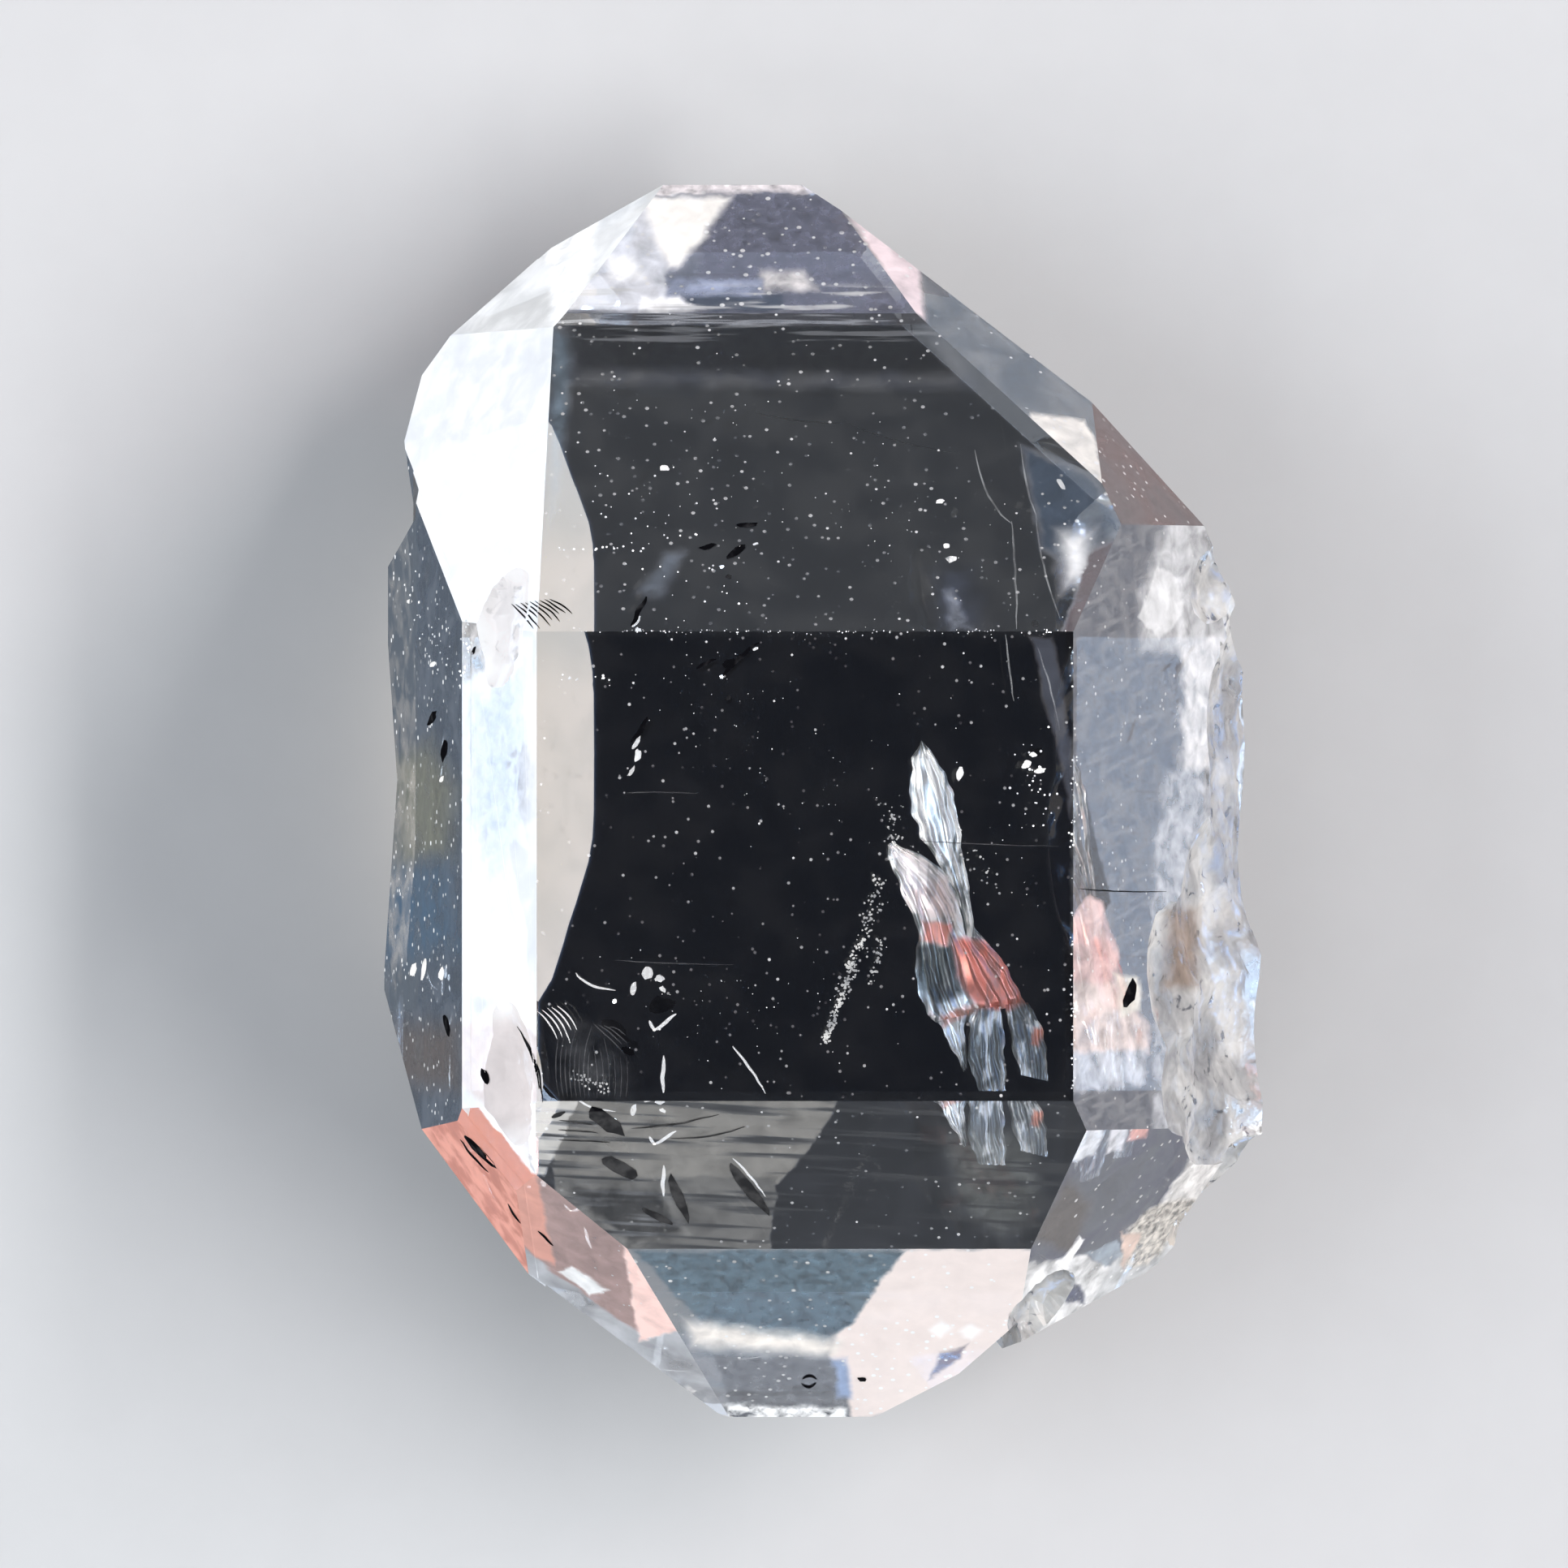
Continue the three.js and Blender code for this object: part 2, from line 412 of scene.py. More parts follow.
@dataclass(frozen=True)
class Face:
    """A growth face: clear quartz under a film of haze and painted reflections, highlights and
    shade, with growth lines and dust.
    """

    name: str
    turn: float  # degrees from +X towards +Y of the way that it faces
    rise: float  # degrees above the floor
    share: float = 0.0  # how much of it the film covers
    colour: Colour = WHITE
    second: Colour = PEARL
    mottle: float = 0.5  # how much the film varies
    grain: float = 1.2  # patches of the film per mm
    dust: float = 0.1  # how large the specks are, in their spacing
    layers: tuple[Layer, ...] = ()
    through: float = 0.0  # how much of its light comes from behind
    glow: float = 0.0  # painted glow: the film's emission strength, in its own colour
    dots: float = 0.55  # how bright the fine dust is
    fine: float = 5.0  # specks per mm
    coarse: float = 2.3

    def faces(self, normal: Vector) -> bool:
        """Whether a face with this normal belongs to it."""
        return normal.dot(heading(self.turn, self.rise)) > math.cos(math.radians(SAME_WAY))

    def material(self, quartz: Quartz) -> Material:
        """Builds the face's material.

        Args:
            quartz: The clear shader's values.

        Returns:
            The material.
        """
        shader = Shader("quartz_" + self.name)
        share, pattern = shader.clouds(self.share, self.mottle, self.grain)
        colour = shader.blend(pattern.ramp(0.62, 0.40), self.colour, self.second)
        for layer in self.layers:
            share, colour = layer.lay(shader, share, colour)
        if self.dust:
            specks = self.specks(shader)
            share = share.most(specks)
            colour = shader.blend(specks.ramp(0.0, 0.3), colour, WHITE)
        film = shader.film(colour, self.through, self.glow)
        return quartz.under(film, share, 0.0, self.relief(shader))

    def specks(self, shader: Shader) -> Wire:
        """Fine dust in crowds, and a few coarser specks."""
        fine = shader.cells(self.fine).ramp(self.dust * 1.6, self.dust * 0.9)
        coarse = shader.cells(self.coarse).ramp(self.dust * 0.5, self.dust * 0.36)
        crowd = shader.noise(0.7, detail=3.0).ramp(0.3, 0.62)
        pale = shader.noise(3.1, detail=2.0).ramp(0.25, 0.75)
        return (fine * crowd * pale * self.dots).most(coarse * 0.6)

    def relief(self, shader: Shader) -> Wire:
        """Faint growth lines and waves in the face."""
        spot = shader.place(scale=(0.12, 3.0, 0.12))
        lines = shader.noise(1.0, detail=3.0, place=spot)
        return shader.bump(lines * 0.3 + shader.noise(0.4, detail=1.0), share=0.05, deep=0.02)


@dataclass(frozen=True)
class Broken:
    """Broken quartz: satin, whitish and rippled, with a painted glow."""

    name: str
    share: float  # how much of it the whitish film covers
    colour: Colour = WHITE
    second: Colour = PEARL
    shade: Colour = (0.25, 0.26, 0.29)
    cloudy: float = 0.9  # how much the film varies
    grit: float = 0.3  # how much small dark flaws show
    ripple: float = 0.4
    satin: float = 0.05  # the roughness of the clear quartz
    through: float = 0.3  # how much of its light comes from behind
    glow: float = 0.0  # painted glow: its film's emission strength, in its own colour
    patches: tuple[Patch, ...] = ()

    def material(self, quartz: Quartz) -> Material:
        """Builds the broken material.

        Args:
            quartz: The clear shader's values.

        Returns:
            The material.
        """
        shader = Shader("quartz_" + self.name)
        broad = shader.noise(0.8, detail=4.0, warp=0.5)
        fine = shader.noise(3.5, detail=5.0, warp=0.8)
        share = (broad - 0.5) * self.cloudy + (fine - 0.5) * self.grit + self.share
        colour = shader.blend(broad.ramp(0.6, 0.38), self.colour, self.second)
        flaws = fine.ramp(0.40, 0.30) * self.grit * 2.5
        colour = shader.blend(flaws, colour, self.shade)
        for patch in self.patches:
            share, colour = patch.lay(shader, share, colour)
        waves = shader.noise(2.0, detail=4.0, warp=1.0)
        normal = shader.bump(waves, share=self.ripple, deep=0.03)
        film = shader.film(colour, self.through, self.glow, Normal=normal)
        return quartz.under(film, share, self.satin, normal)


@dataclass(frozen=True)
class Silver:
    """A crack or film inside the quartz, which throws light back as thin air does, with a painted
    glow.
    """

    name: str
    colour: Colour = (0.95, 0.93, 0.90)
    second: Colour = (0.26, 0.27, 0.27)
    roughness: float = 0.28
    # painted glow: emission strength, in its own colour
    glow: float = 0.10
    dark: float = 0.46  # how much of it is dark
    soft: float = 0.06  # how softly that begins
    patches: tuple[Patch, ...] = ()

    def material(self) -> Material:
        """Builds the material."""
        shader = Shader("inclusion_" + self.name)
        spot = shader.place(scale=(7.0, 1.2, 3.0))
        ribs = shader.noise(1.0, detail=3.0, warp=0.4, place=spot)
        cloud = shader.noise(3.0, detail=4.0, warp=0.5)
        dark = (ribs * 0.72 + cloud * 0.28).ramp(self.dark + self.soft, self.dark - self.soft)
        share, colour = cloud, shader.blend(dark, self.colour, self.second)
        for patch in self.patches:
            share, colour = patch.lay(shader, share, colour)
        colour = shader.blend(dark * 0.45, colour, self.second)
        return shader.finish(shader.surface(
            Base_Color=colour, Metallic=1.0, Roughness=self.roughness, Emission_Color=colour,
            Emission_Strength=self.glow))


@dataclass(frozen=True)
class PaintedShade:
    """Painted shade for a deep crack: black and dark grey, where no light comes back from it."""

    colour: Colour = (0.004, 0.004, 0.005)
    second: Colour = (0.03, 0.03, 0.032)
    dim: Colour = (0.055, 0.054, 0.054)
    # greyer painted shade where the cracks lie shallow
    shallow: Patch = Patch(((-4.3, -4.95), (0.2, -4.95), (0.2, -6.95), (-4.3, -6.95)), 1.0,
                           (0.022, 0.022, 0.023), blur=0.02)

    def material(self) -> Material:
        """Builds the material."""
        shader = Shader("inclusion_painted_shade")
        cloud = shader.noise(4.0, detail=3.0)
        colour = shader.blend(cloud.ramp(0.5, 0.75), self.colour, self.second)
        grey = shader.blend(cloud.ramp(0.35, 0.65), self.shallow.colour, self.dim)
        colour = shader.blend(self.shallow.mask(shader, shader.place()), colour, grey)
        return shader.finish(shader.surface(Base_Color=colour, Roughness=0.8,
                                            Specular_IOR_Level=0.0))


@dataclass(frozen=True)
class Grain:
    """Dust, or a hair-thin crack, with a painted glow: light that it gives out in its own colour.
    """

    name: str = "grain"
    colour: Colour = (0.93, 0.93, 0.92)
    second: Colour = (0.45, 0.46, 0.48)
    # painted glow: emission strength
    glow: float = 0.7
    size: float = 3.0  # patches of the second colour per mm

    def material(self) -> Material:
        """Builds the material."""
        shader = Shader("inclusion_" + self.name)
        cloud = shader.noise(self.size, detail=3.0)
        colour = shader.blend(cloud.ramp(0.38, 0.58), self.colour, self.second)
        return shader.finish(shader.surface(Base_Color=colour, Roughness=0.5,
                                            Emission_Color=colour, Emission_Strength=self.glow))


@dataclass(frozen=True)
class Paper:
    """The studio's plain pale floor."""

    colour: Colour = (0.56, 0.56, 0.56)
    second: Colour = (0.5516, 0.5516, 0.5516)

    def material(self) -> Material:
        """A matt surface with a barely visible tooth."""
        shader = Shader("floor_paper")
        tooth = shader.noise(0.8, detail=3.0)
        colour = shader.blend(tooth.ramp(0.3, 0.7), self.colour, self.second)
        return shader.finish(shader.surface(Base_Color=colour, Roughness=0.75,
                                            Specular_IOR_Level=0.1))


# The faces, the painted reflections, highlights and shade on them, and the broken places


# painted reflections: a faint slate one at the right and a pale one at the lower left
FRONT_PAINTED_LIGHT = (
    Patch(((3.3, 2.6), (3.62, 2.6), (3.95, 0.9), (3.95, -0.2)), 0.1, SLATE),
    Patch(((-4.2, -3.5), (-3.6, -3.6), (-3.1, -4.1), (-3.2, -4.7), (-4.2, -4.7)), 0.018, PEARL,
          blur=0.25, mottle=1.5),
)

# painted reflections in blue and white, near-black painted shade along the crown's edge and in a
# corner, and pale growth lines
UPPER_FRONT_PAINTED_LIGHT_AND_LINES = (
    Patch(((-4.36, 7.59), (-4.02, 7.39), (-4.2, 5.04), (-4.36, 4.52)), 0.16, (0.5, 0.66, 0.8),
          blur=0.14, mottle=0.7),
    Patch(((-4.3, 7.95), (1.5, 7.95), (2.3, 6.7), (-4.0, 6.8)), 0.25, SHADE_BLACK, blur=0.25),
    Patch(((-4.4, 8.0), (1.6, 8.0), (1.75, 7.62), (-4.4, 7.62)), 0.7, (0.045, 0.045, 0.05),
          blur=0.04, mottle=0.2),
    Patch(((3.2, 5.63), (4.32, 5.17), (4.75, 4.32), (3.97, 3.75), (3.5, 4.0)), 0.35,
          (0.1, 0.14, 0.2), blur=0.1),
    Patch(((3.8, 4.24), (4.26, 4.24), (4.19, 3.54), (3.85, 3.44)), 0.7, WHITE, blur=0.22),
    Patch(((4.25, 3.95), (4.62, 4.15), (4.62, 3.4), (4.05, 2.65), (3.8, 2.65)), 0.6,
          (0.17, 0.14, 0.15)),
    Patch(((-2.95, 3.3), (-2.5, 3.95), (-2.22, 3.95), (-2.6, 3.25)), 0.12, (0.6, 0.7, 0.85),
          blur=0.14, mottle=0.8),
    Patch(((1.7, 3.7), (2.4, 3.7), (2.5, 2.75), (1.8, 2.75)), 0.04, (0.35, 0.42, 0.62), blur=0.25,
          mottle=1.0),
    Patch(((1.92, 3.35), (2.06, 3.35), (2.38, 2.7), (2.02, 2.7)), 0.2, (0.62, 0.68, 0.82),
          blur=0.09, mottle=0.8),
    Streaks(7.35, 7.9, 0.1, PEARL, per_mm=11.0, stretch=0.6),
)

# painted reflections in cream and grey, a dark patch of painted shade, and faint growth lines
LOWER_FRONT_PAINTED_LIGHT_AND_LINES = (
    Patch(((-4.3, -4.75), (0.25, -4.75), (-0.02, -5.3), (-0.68, -6.1), (-4.3, -6.1)), 0.18,
          (0.92, 0.88, 0.81), blur=0.03, mottle=0.35),
    Patch(((-4.3, -6.0), (-0.72, -6.0), (-0.86, -7.3), (-4.3, -7.3)), 0.13, (0.86, 0.84, 0.8),
          blur=0.03, mottle=0.4),
    Patch(((-4.2, -6.15), (-2.6, -6.2), (-2.2, -6.9), (-3.1, -7.1)), 0.35, (0.1, 0.1, 0.1),
          blur=0.12, mottle=0.8),
    Patch(((-4.65, -4.7), (-3.9, -4.7), (-3.95, -4.9), (-4.45, -6.0), (-4.65, -6.0)), 0.7,
          (0.66, 0.64, 0.6), blur=0.03, mottle=0.2),
    Patch(((1.9, -5.3), (3.4, -5.3), (3.5, -6.5), (2.9, -7.0), (2.2, -6.5)), 0.08,
          (0.75, 0.78, 0.75), blur=0.25, mottle=0.8),
    Streaks(-7.3, -4.7, 0.035, PEARL, per_mm=8.0, stretch=0.35, tilt=3),
)

# painted reflections in pink-cream and blue-grey, white painted highlights, and a dark patch of
# painted shade
FOOT_FRONT_PAINTED_LIGHT = (
    Patch(((1.28, -7.15), (3.4, -7.15), (3.0, -9.6), (0.47, -9.99), (0.08, -8.8)), 0.86,
          (0.9, 0.79, 0.74), blur=0.06, mottle=0.06),
    Patch(((-3.08, -7.19), (1.28, -7.19), (0.5, -8.34), (-0.02, -8.75), (-1.75, -8.6),
           (-2.29, -8.01)), 0.34, (0.25, 0.37, 0.46), mottle=0.6, grain=5.0),
    Patch(((-1.75, -8.9), (0.34, -9.03), (0.47, -9.99), (-1.42, -9.99)), 0.35, (0.34, 0.355, 0.38),
          blur=0.06, mottle=0.6, grain=6.0),
    Patch(((0.16, -9.0), (0.38, -9.0), (0.45, -9.6), (0.25, -9.6)), 0.6, (0.45, 0.58, 0.85),
          blur=0.08),
    Patch(((-2.2, -8.35), (0.3, -8.68), (0.2, -8.92), (-2.1, -8.75)), 0.85, (0.93, 0.87, 0.8),
          blur=0.14),
    Patch(((1.74, -8.46), (1.9, -8.34), (2.06, -8.46), (1.9, -8.6)), 0.97, WHITE, blur=0.08,
          mottle=0.1),
    Patch(((2.2, -8.54), (2.36, -8.44), (2.52, -8.52), (2.36, -8.66)), 0.97, WHITE, blur=0.08,
          mottle=0.1),
    Patch(((1.73, -9.27), (1.88, -8.88), (2.3, -8.76), (2.26, -8.95)), 0.75, (0.27, 0.25, 0.3),
          mottle=0.9, grain=5.0),
    Patch(((-1.6, -9.72), (0.4, -9.8), (0.4, -10.1), (-1.6, -10.1)), 0.75, WHITE, mottle=1.4,
          grain=5.0),
)

# painted reflections in salmon, with a white painted highlight
FOOT_LEFT_PAINTED_LIGHT = (
    Patch(((-5.1, -5.9), (-4.6, -5.85), (-3.2, -7.0), (-2.95, -8.55), (-3.7, -8.05), (-4.5, -7.45),
           (-5.1, -6.9)), 0.55, (0.6, 0.41, 0.38), blur=0.04),
    Patch(((-3.2, -7.1), (-3.0, -7.1), (-2.3, -8.5), (-2.95, -8.7)), 0.92, (1.0, 0.7, 0.63),
          blur=0.04),
    Patch(((-4.95, -5.85), (-4.58, -5.95), (-4.3, -7.45), (-4.6, -7.35), (-4.95, -6.9)), 0.8,
          (0.8, 0.4, 0.32), blur=0.04, mottle=0.12),
    Patch(((-4.22, -7.55), (-4.02, -7.45), (-3.45, -7.85), (-3.75, -7.95)), 0.85, WHITE,
          blur=0.03),
)

# white and cream painted highlights, painted reflections in blue and pink, dark blue painted
# shade, and white growth lines
CROWN_FRONT_PAINTED_LIGHT_AND_LINES = (
    Patch(((-3.0, 9.98), (0.0, 9.98), (0.1, 9.8), (-2.9, 9.78)), 0.7, (0.9, 0.84, 0.84), blur=0.03,
          mottle=0.6, grain=5.0),
    Patch(((-3.7, 9.7), (-2.6, 9.7), (-2.47, 7.85), (-4.3, 7.85)), 0.6, (0.88, 0.9, 0.95),
          blur=0.1, mottle=0.4),
    Patch(((-3.5, 8.75), (-3.05, 8.75), (-2.9, 8.4), (-3.4, 8.4)), 0.9, WHITE, blur=0.12),
    Patch(((-1.9, 9.8), (0.2, 9.8), (1.6, 7.8), (-2.1, 7.8)), 0.5, (0.19, 0.2, 0.27), blur=0.12,
          mottle=0.5, grain=6.0),
    Patch(((-2.95, 9.75), (-1.35, 9.75), (-2.0, 8.95), (-2.25, 8.55), (-2.5, 8.55)), 0.95, CREAM,
          blur=0.1, mottle=0.15),
    Patch(((-2.2, 8.15), (-0.7, 8.15), (-0.6, 7.86), (-2.2, 7.86)), 0.55, (0.07, 0.09, 0.13),
          blur=0.06),
    Patch(((-1.0, 8.5), (-0.3, 8.5), (-0.1, 8.22), (-1.0, 8.22)), 0.5, (0.9, 0.86, 0.84), blur=0.1,
          mottle=0.8),
    Patch(((-2.5, 8.42), (-1.0, 8.35), (-1.0, 8.12), (-2.5, 8.12)), 0.3, (0.62, 0.7, 0.95),
          blur=0.08, mottle=0.8),
    Patch(((-2.9, 8.1), (-2.3, 8.1), (-2.0, 7.9), (-2.9, 7.88)), 0.95, WHITE, blur=0.06),
    Streaks(7.84, 8.25, 0.45, WHITE, per_mm=8.0, stretch=0.6),
)

# a white painted highlight
CROWN_LEFT_PAINTED_LIGHT = (
    Patch(((-4.5, 9.2), (-3.6, 9.6), (-3.9, 7.5), (-4.3, 7.5)), 0.95, WHITE, blur=0.1),
)

# painted reflections in pink and cream
CROWN_RIGHT_PAINTED_LIGHT = (
    Patch(((0.2, 9.8), (1.5, 9.1), (1.65, 7.7), (1.35, 7.9)), 0.75, (0.92, 0.78, 0.8), blur=0.08),
    Patch(((3.3, 6.2), (4.2, 6.1), (4.75, 4.7), (3.35, 5.7)), 0.75, CREAM),
)

# grey growth lines; white and grey painted reflections, a pink painted copy of the feathery crack
# seen through the crystal, and a black strip of painted shade
RIGHT_PAINTED_LIGHT_AND_LINES = (
    Streaks(-9.0, 9.0, 0.38, (0.42, 0.43, 0.46), per_mm=9.0, stretch=2.2, tilt=-24),
    Patch(((5.1, 3.4), (5.5, 4.45), (6.0, 4.6), (7.2, 4.0), (7.2, 2.4), (5.04, 2.4)), 0.48,
          (0.8, 0.81, 0.82), blur=0.15, mottle=0.6),
    Patch(((5.75, 2.6), (7.2, 2.6), (7.2, 0.2), (5.75, 0.2)), 0.6, (0.84, 0.84, 0.84), blur=0.1,
          mottle=0.45, grain=3.6, wobble=0.36),
    Patch(((5.5, 0.5), (7.2, 0.5), (7.2, -5.5), (5.3, -5.5), (5.3, -0.6)), 0.42,
          (0.66, 0.68, 0.72), blur=0.1, mottle=0.7, grain=3.6, wobble=0.36),
    Patch(((5.04, 2.95), (5.37, 3.74), (5.7, 3.54), (5.76, 2.95), (5.37, 2.56)), 0.65,
          (0.86, 0.87, 0.87), blur=0.03, mottle=0.3),
    Patch(((3.95, 0.6), (4.05, 0.6), (4.6, -1.62), (4.42, -1.95), (3.95, -2.3)), 0.6,
          (0.1, 0.1, 0.105), blur=0.03, mottle=0.25),
    Patch(((3.9, -1.9), (4.25, -1.5), (4.42, -1.62), (4.75, -2.5), (4.55, -3.05), (3.9, -3.95)),
          0.58, (0.76, 0.56, 0.54), mottle=0.6),
    Patch(((3.9, -2.9), (4.65, -2.9), (5.2, -3.6), (5.2, -4.05), (3.9, -4.05)), 0.56,
          (0.84, 0.72, 0.68), blur=0.08, mottle=0.6),
    Patch(((4.62, -2.75), (5.05, -2.85), (5.05, -3.35), (4.75, -3.45)), 0.6, (0.86, 0.83, 0.74),
          blur=0.06, mottle=0.4),
    Patch(((3.9, -4.0), (5.17, -4.0), (5.17, -4.55), (3.9, -4.65)), 0.4, (0.8, 0.84, 0.92),
          blur=0.08, mottle=0.8),
)

# painted reflections in grey, white and pink, brown mottled patches, white painted highlights
# along the edge, and dark patches of painted shade
LOWER_RIGHT_PAINTED_LIGHT = (
    Patch(((3.9, -4.5), (5.2, -4.5), (5.2, -5.1), (4.0, -5.1)), 0.55, (0.44, 0.47, 0.53),
          blur=0.04, mottle=0.2),
    Patch(((4.12, -5.1), (4.47, -5.1), (4.36, -5.66), (3.96, -5.78)), 0.62, (0.84, 0.86, 0.9),
          mottle=0.5, grain=4.0),
    Patch(((4.62, -5.1), (4.86, -5.1), (4.79, -5.58), (4.5, -5.64)), 0.66, (0.86, 0.86, 0.9),
          mottle=0.5, grain=4.0),
    Patch(((4.92, -5.08), (5.26, -5.08), (5.14, -5.38), (4.86, -5.44)), 0.72, (0.8, 0.46, 0.42),
          mottle=0.5, grain=4.0),
    Patch(((3.3, -7.0), (3.9, -6.0), (4.3, -6.5), (4.0, -7.3)), 0.45, (0.2, 0.18, 0.17),
          blur=0.12),
    Patch(((4.78, -7.32), (5.65, -7.01), (5.8, -7.23), (5.3, -7.75), (4.15, -8.3), (4.56, -7.54)),
          0.7, (0.62, 0.63, 0.63), blur=0.04, mottle=0.6),
    Patch(((3.2, -7.42), (4.25, -7.3), (4.62, -7.52), (4.15, -8.45), (2.7, -8.8), (2.6, -8.0)),
          0.66, (0.88, 0.88, 0.87), mottle=0.8, grain=2.0),
    Patch(((4.24, -7.27), (4.72, -7.06), (4.82, -7.32), (4.56, -7.5)), 0.65, (0.4, 0.46, 0.52),
          blur=0.04, mottle=0.4),
    Patch(((3.82, -7.72), (4.15, -7.78), (4.22, -8.1), (3.9, -8.06)), 0.75, (0.13, 0.14, 0.19),
          mottle=0.6, grain=6.0),
    Patch(((3.84, -7.37), (4.1, -7.0), (4.18, -7.02), (3.98, -7.37)), 0.95, WHITE, blur=0.03,
          mottle=0.1),
    Patch(((6.17, -5.4), (6.9, -5.4), (6.75, -5.95), (6.05, -6.6), (5.38, -6.55)), 0.78,
          (0.8, 0.78, 0.75), mottle=0.5, grain=4.0),
    Patch(((5.24, -6.55), (5.74, -6.42), (6.1, -6.44), (5.25, -7.5), (4.85, -7.55), (4.78, -7.0)),
          0.62, (0.66, 0.62, 0.56), blur=0.06, mottle=1.0, grain=7.0),
    Patch(((4.78, -6.95), (5.1, -6.95), (5.0, -7.3), (4.85, -7.55)), 0.62, (0.82, 0.64, 0.55),
          blur=0.04, mottle=0.4),
)

# painted reflections: a blue-white cloud, a grey patch and a pink one
LEFT_PAINTED_LIGHT = (
    Patch(((-5.6, 1.6), (-4.9, 2.0), (-4.7, 0.2), (-5.3, -1.2), (-5.6, -0.4)), 0.6,
          (0.7, 0.76, 0.88), blur=0.35, mottle=0.45, grain=4.0),
    Patch(((-5.85, 2.95), (-5.45, 2.95), (-5.35, 2.1), (-5.85, 1.9)), 0.62, (0.56, 0.54, 0.53),
          blur=0.12, mottle=0.8, grain=3.5),
    Patch(((-5.85, -3.6), (-4.9, -3.45), (-4.3, -3.9), (-4.35, -4.8), (-5.4, -4.85),
           (-5.85, -4.5)), 0.8, (0.78, 0.71, 0.71), blur=0.08, mottle=0.15),
)

# a red-brown painted reflection
LOWER_LEFT_PAINTED_LIGHT = (
    Patch(((-5.95, -4.8), (-5.55, -4.85), (-4.57, -6.0), (-4.8, -6.45), (-5.95, -5.2)), 0.9,
          (0.52, 0.22, 0.165), blur=0.03, mottle=0.1),
)

# painted shade: dark blue, olive and brown patches over the flank
LEFT_FLANK_PAINTED_SHADE = (
    Patch(((-7.4, 5.2), (-6.52, 5.2), (-6.52, -3.4), (-7.4, -3.4)), 0.9, (0.082, 0.1, 0.122),
          blur=0.06, mottle=0.3),
    Patch(((-6.9, 0.6), (-6.3, 0.9), (-5.9, 0.2), (-6.0, -0.9), (-6.8, -1.0)), 0.7,
          (0.15, 0.155, 0.125), blur=0.3, mottle=0.5),
    Patch(((-7.1, -1.2), (-6.0, -1.0), (-5.8, -2.4), (-7.1, -2.6)), 0.72, (0.055, 0.1, 0.155),
          blur=0.35, mottle=0.5),
    Patch(((-7.1, -3.6), (-5.8, -3.6), (-5.8, -4.6), (-7.1, -4.6)), 0.68, (0.095, 0.082, 0.08),
          blur=0.3, mottle=0.5),
)

# Each face's film paints in what it reflects and shows through it: the white upper_left, left,
# lower_left and crown_left films, with their glow, are painted highlights; the dark left_flank
# film is painted shade; the salmon lower_left_flank film is a painted reflection; the others are
# painted reflections and shade in greys, blues and browns.
FACES = (
    Face("front", 0, 90, share=0.004, colour=(0.86, 0.8, 0.81), second=(0.45, 0.41, 0.46),
         dust=0.1, layers=FRONT_PAINTED_LIGHT),
    Face("upper_front", 90, 51.8, share=0.015, colour=PEARL, second=SLATE, dust=0.13,
         layers=UPPER_FRONT_PAINTED_LIGHT_AND_LINES),
    Face("lower_front", -90, 51.8, share=0.02, colour=(0.55, 0.58, 0.7), second=SLATE, dust=0.11,
         layers=LOWER_FRONT_PAINTED_LIGHT_AND_LINES),
    Face("foot_front", -90, 37.5, share=0.3, colour=(0.5, 0.55, 0.6), dust=0.14, dots=0.8,
         layers=FOOT_FRONT_PAINTED_LIGHT),
    Face("foot_left", -114.8, 27, share=0.45, colour=PEARL, dust=0.08, layers=FOOT_LEFT_PAINTED_LIGHT),
    Face("crown_front", 90, 44.7, share=0.14, colour=(0.5, 0.53, 0.66), second=SLATE, dust=0.16,
         grain=2.6, dots=0.8, layers=CROWN_FRONT_PAINTED_LIGHT_AND_LINES),
    Face("crown_left", 126.7, 19.7, share=0.74, colour=WHITE, second=(0.8, 0.8, 0.79), mottle=0.12,
         dust=0.0, glow=0.15, layers=CROWN_LEFT_PAINTED_LIGHT),
    Face("crown_right", 66.8, 32.3, share=0.18, colour=(0.62, 0.61, 0.6),
         second=(0.36, 0.36, 0.38), dust=0.16, layers=CROWN_RIGHT_PAINTED_LIGHT),
    Face("upper_right", 42.3, 23.1, share=0.46, colour=(0.25, 0.185, 0.18),
         second=(0.3, 0.24, 0.24), dust=0.14),
    Face("right", 0, 30, share=0.34, colour=(0.36, 0.37, 0.4), second=(0.31, 0.33, 0.39),
         grain=3.4, mottle=0.4, dust=0.1, layers=RIGHT_PAINTED_LIGHT_AND_LINES),
    Face("lower_right", -42.3, 23.1, share=0.3, colour=(0.22, 0.23, 0.3),
         second=(0.34, 0.36, 0.42), dust=0.14, mottle=0.5, layers=LOWER_RIGHT_PAINTED_LIGHT),
    Face("upper_left", 151.8, 28.8, share=0.76, mottle=0.1, second=(0.88, 0.9, 0.93), dust=0.0,
         grain=1.6, glow=0.2),
    Face("left", 180, 30, share=0.76, mottle=0.1, second=(0.84, 0.88, 0.94), dust=0.0, grain=1.0,
         glow=0.2, layers=LEFT_PAINTED_LIGHT),
    Face("lower_left", -154.8, 28.5, share=0.86, mottle=0.08, dust=0.0, glow=0.36,
         layers=LOWER_LEFT_PAINTED_LIGHT),
    Face("left_flank", 180, 15, share=0.7, colour=(0.09, 0.11, 0.14), second=(0.05, 0.075, 0.11),
         dust=0.14, grain=1.4, mottle=0.5, dots=0.6, layers=LEFT_FLANK_PAINTED_SHADE),
    Face("lower_left_flank", -146.8, 14.8, share=0.84, colour=(0.8, 0.36, 0.28),
         second=(0.6, 0.23, 0.17), mottle=0.14, dust=0.0, grain=2.4),
)

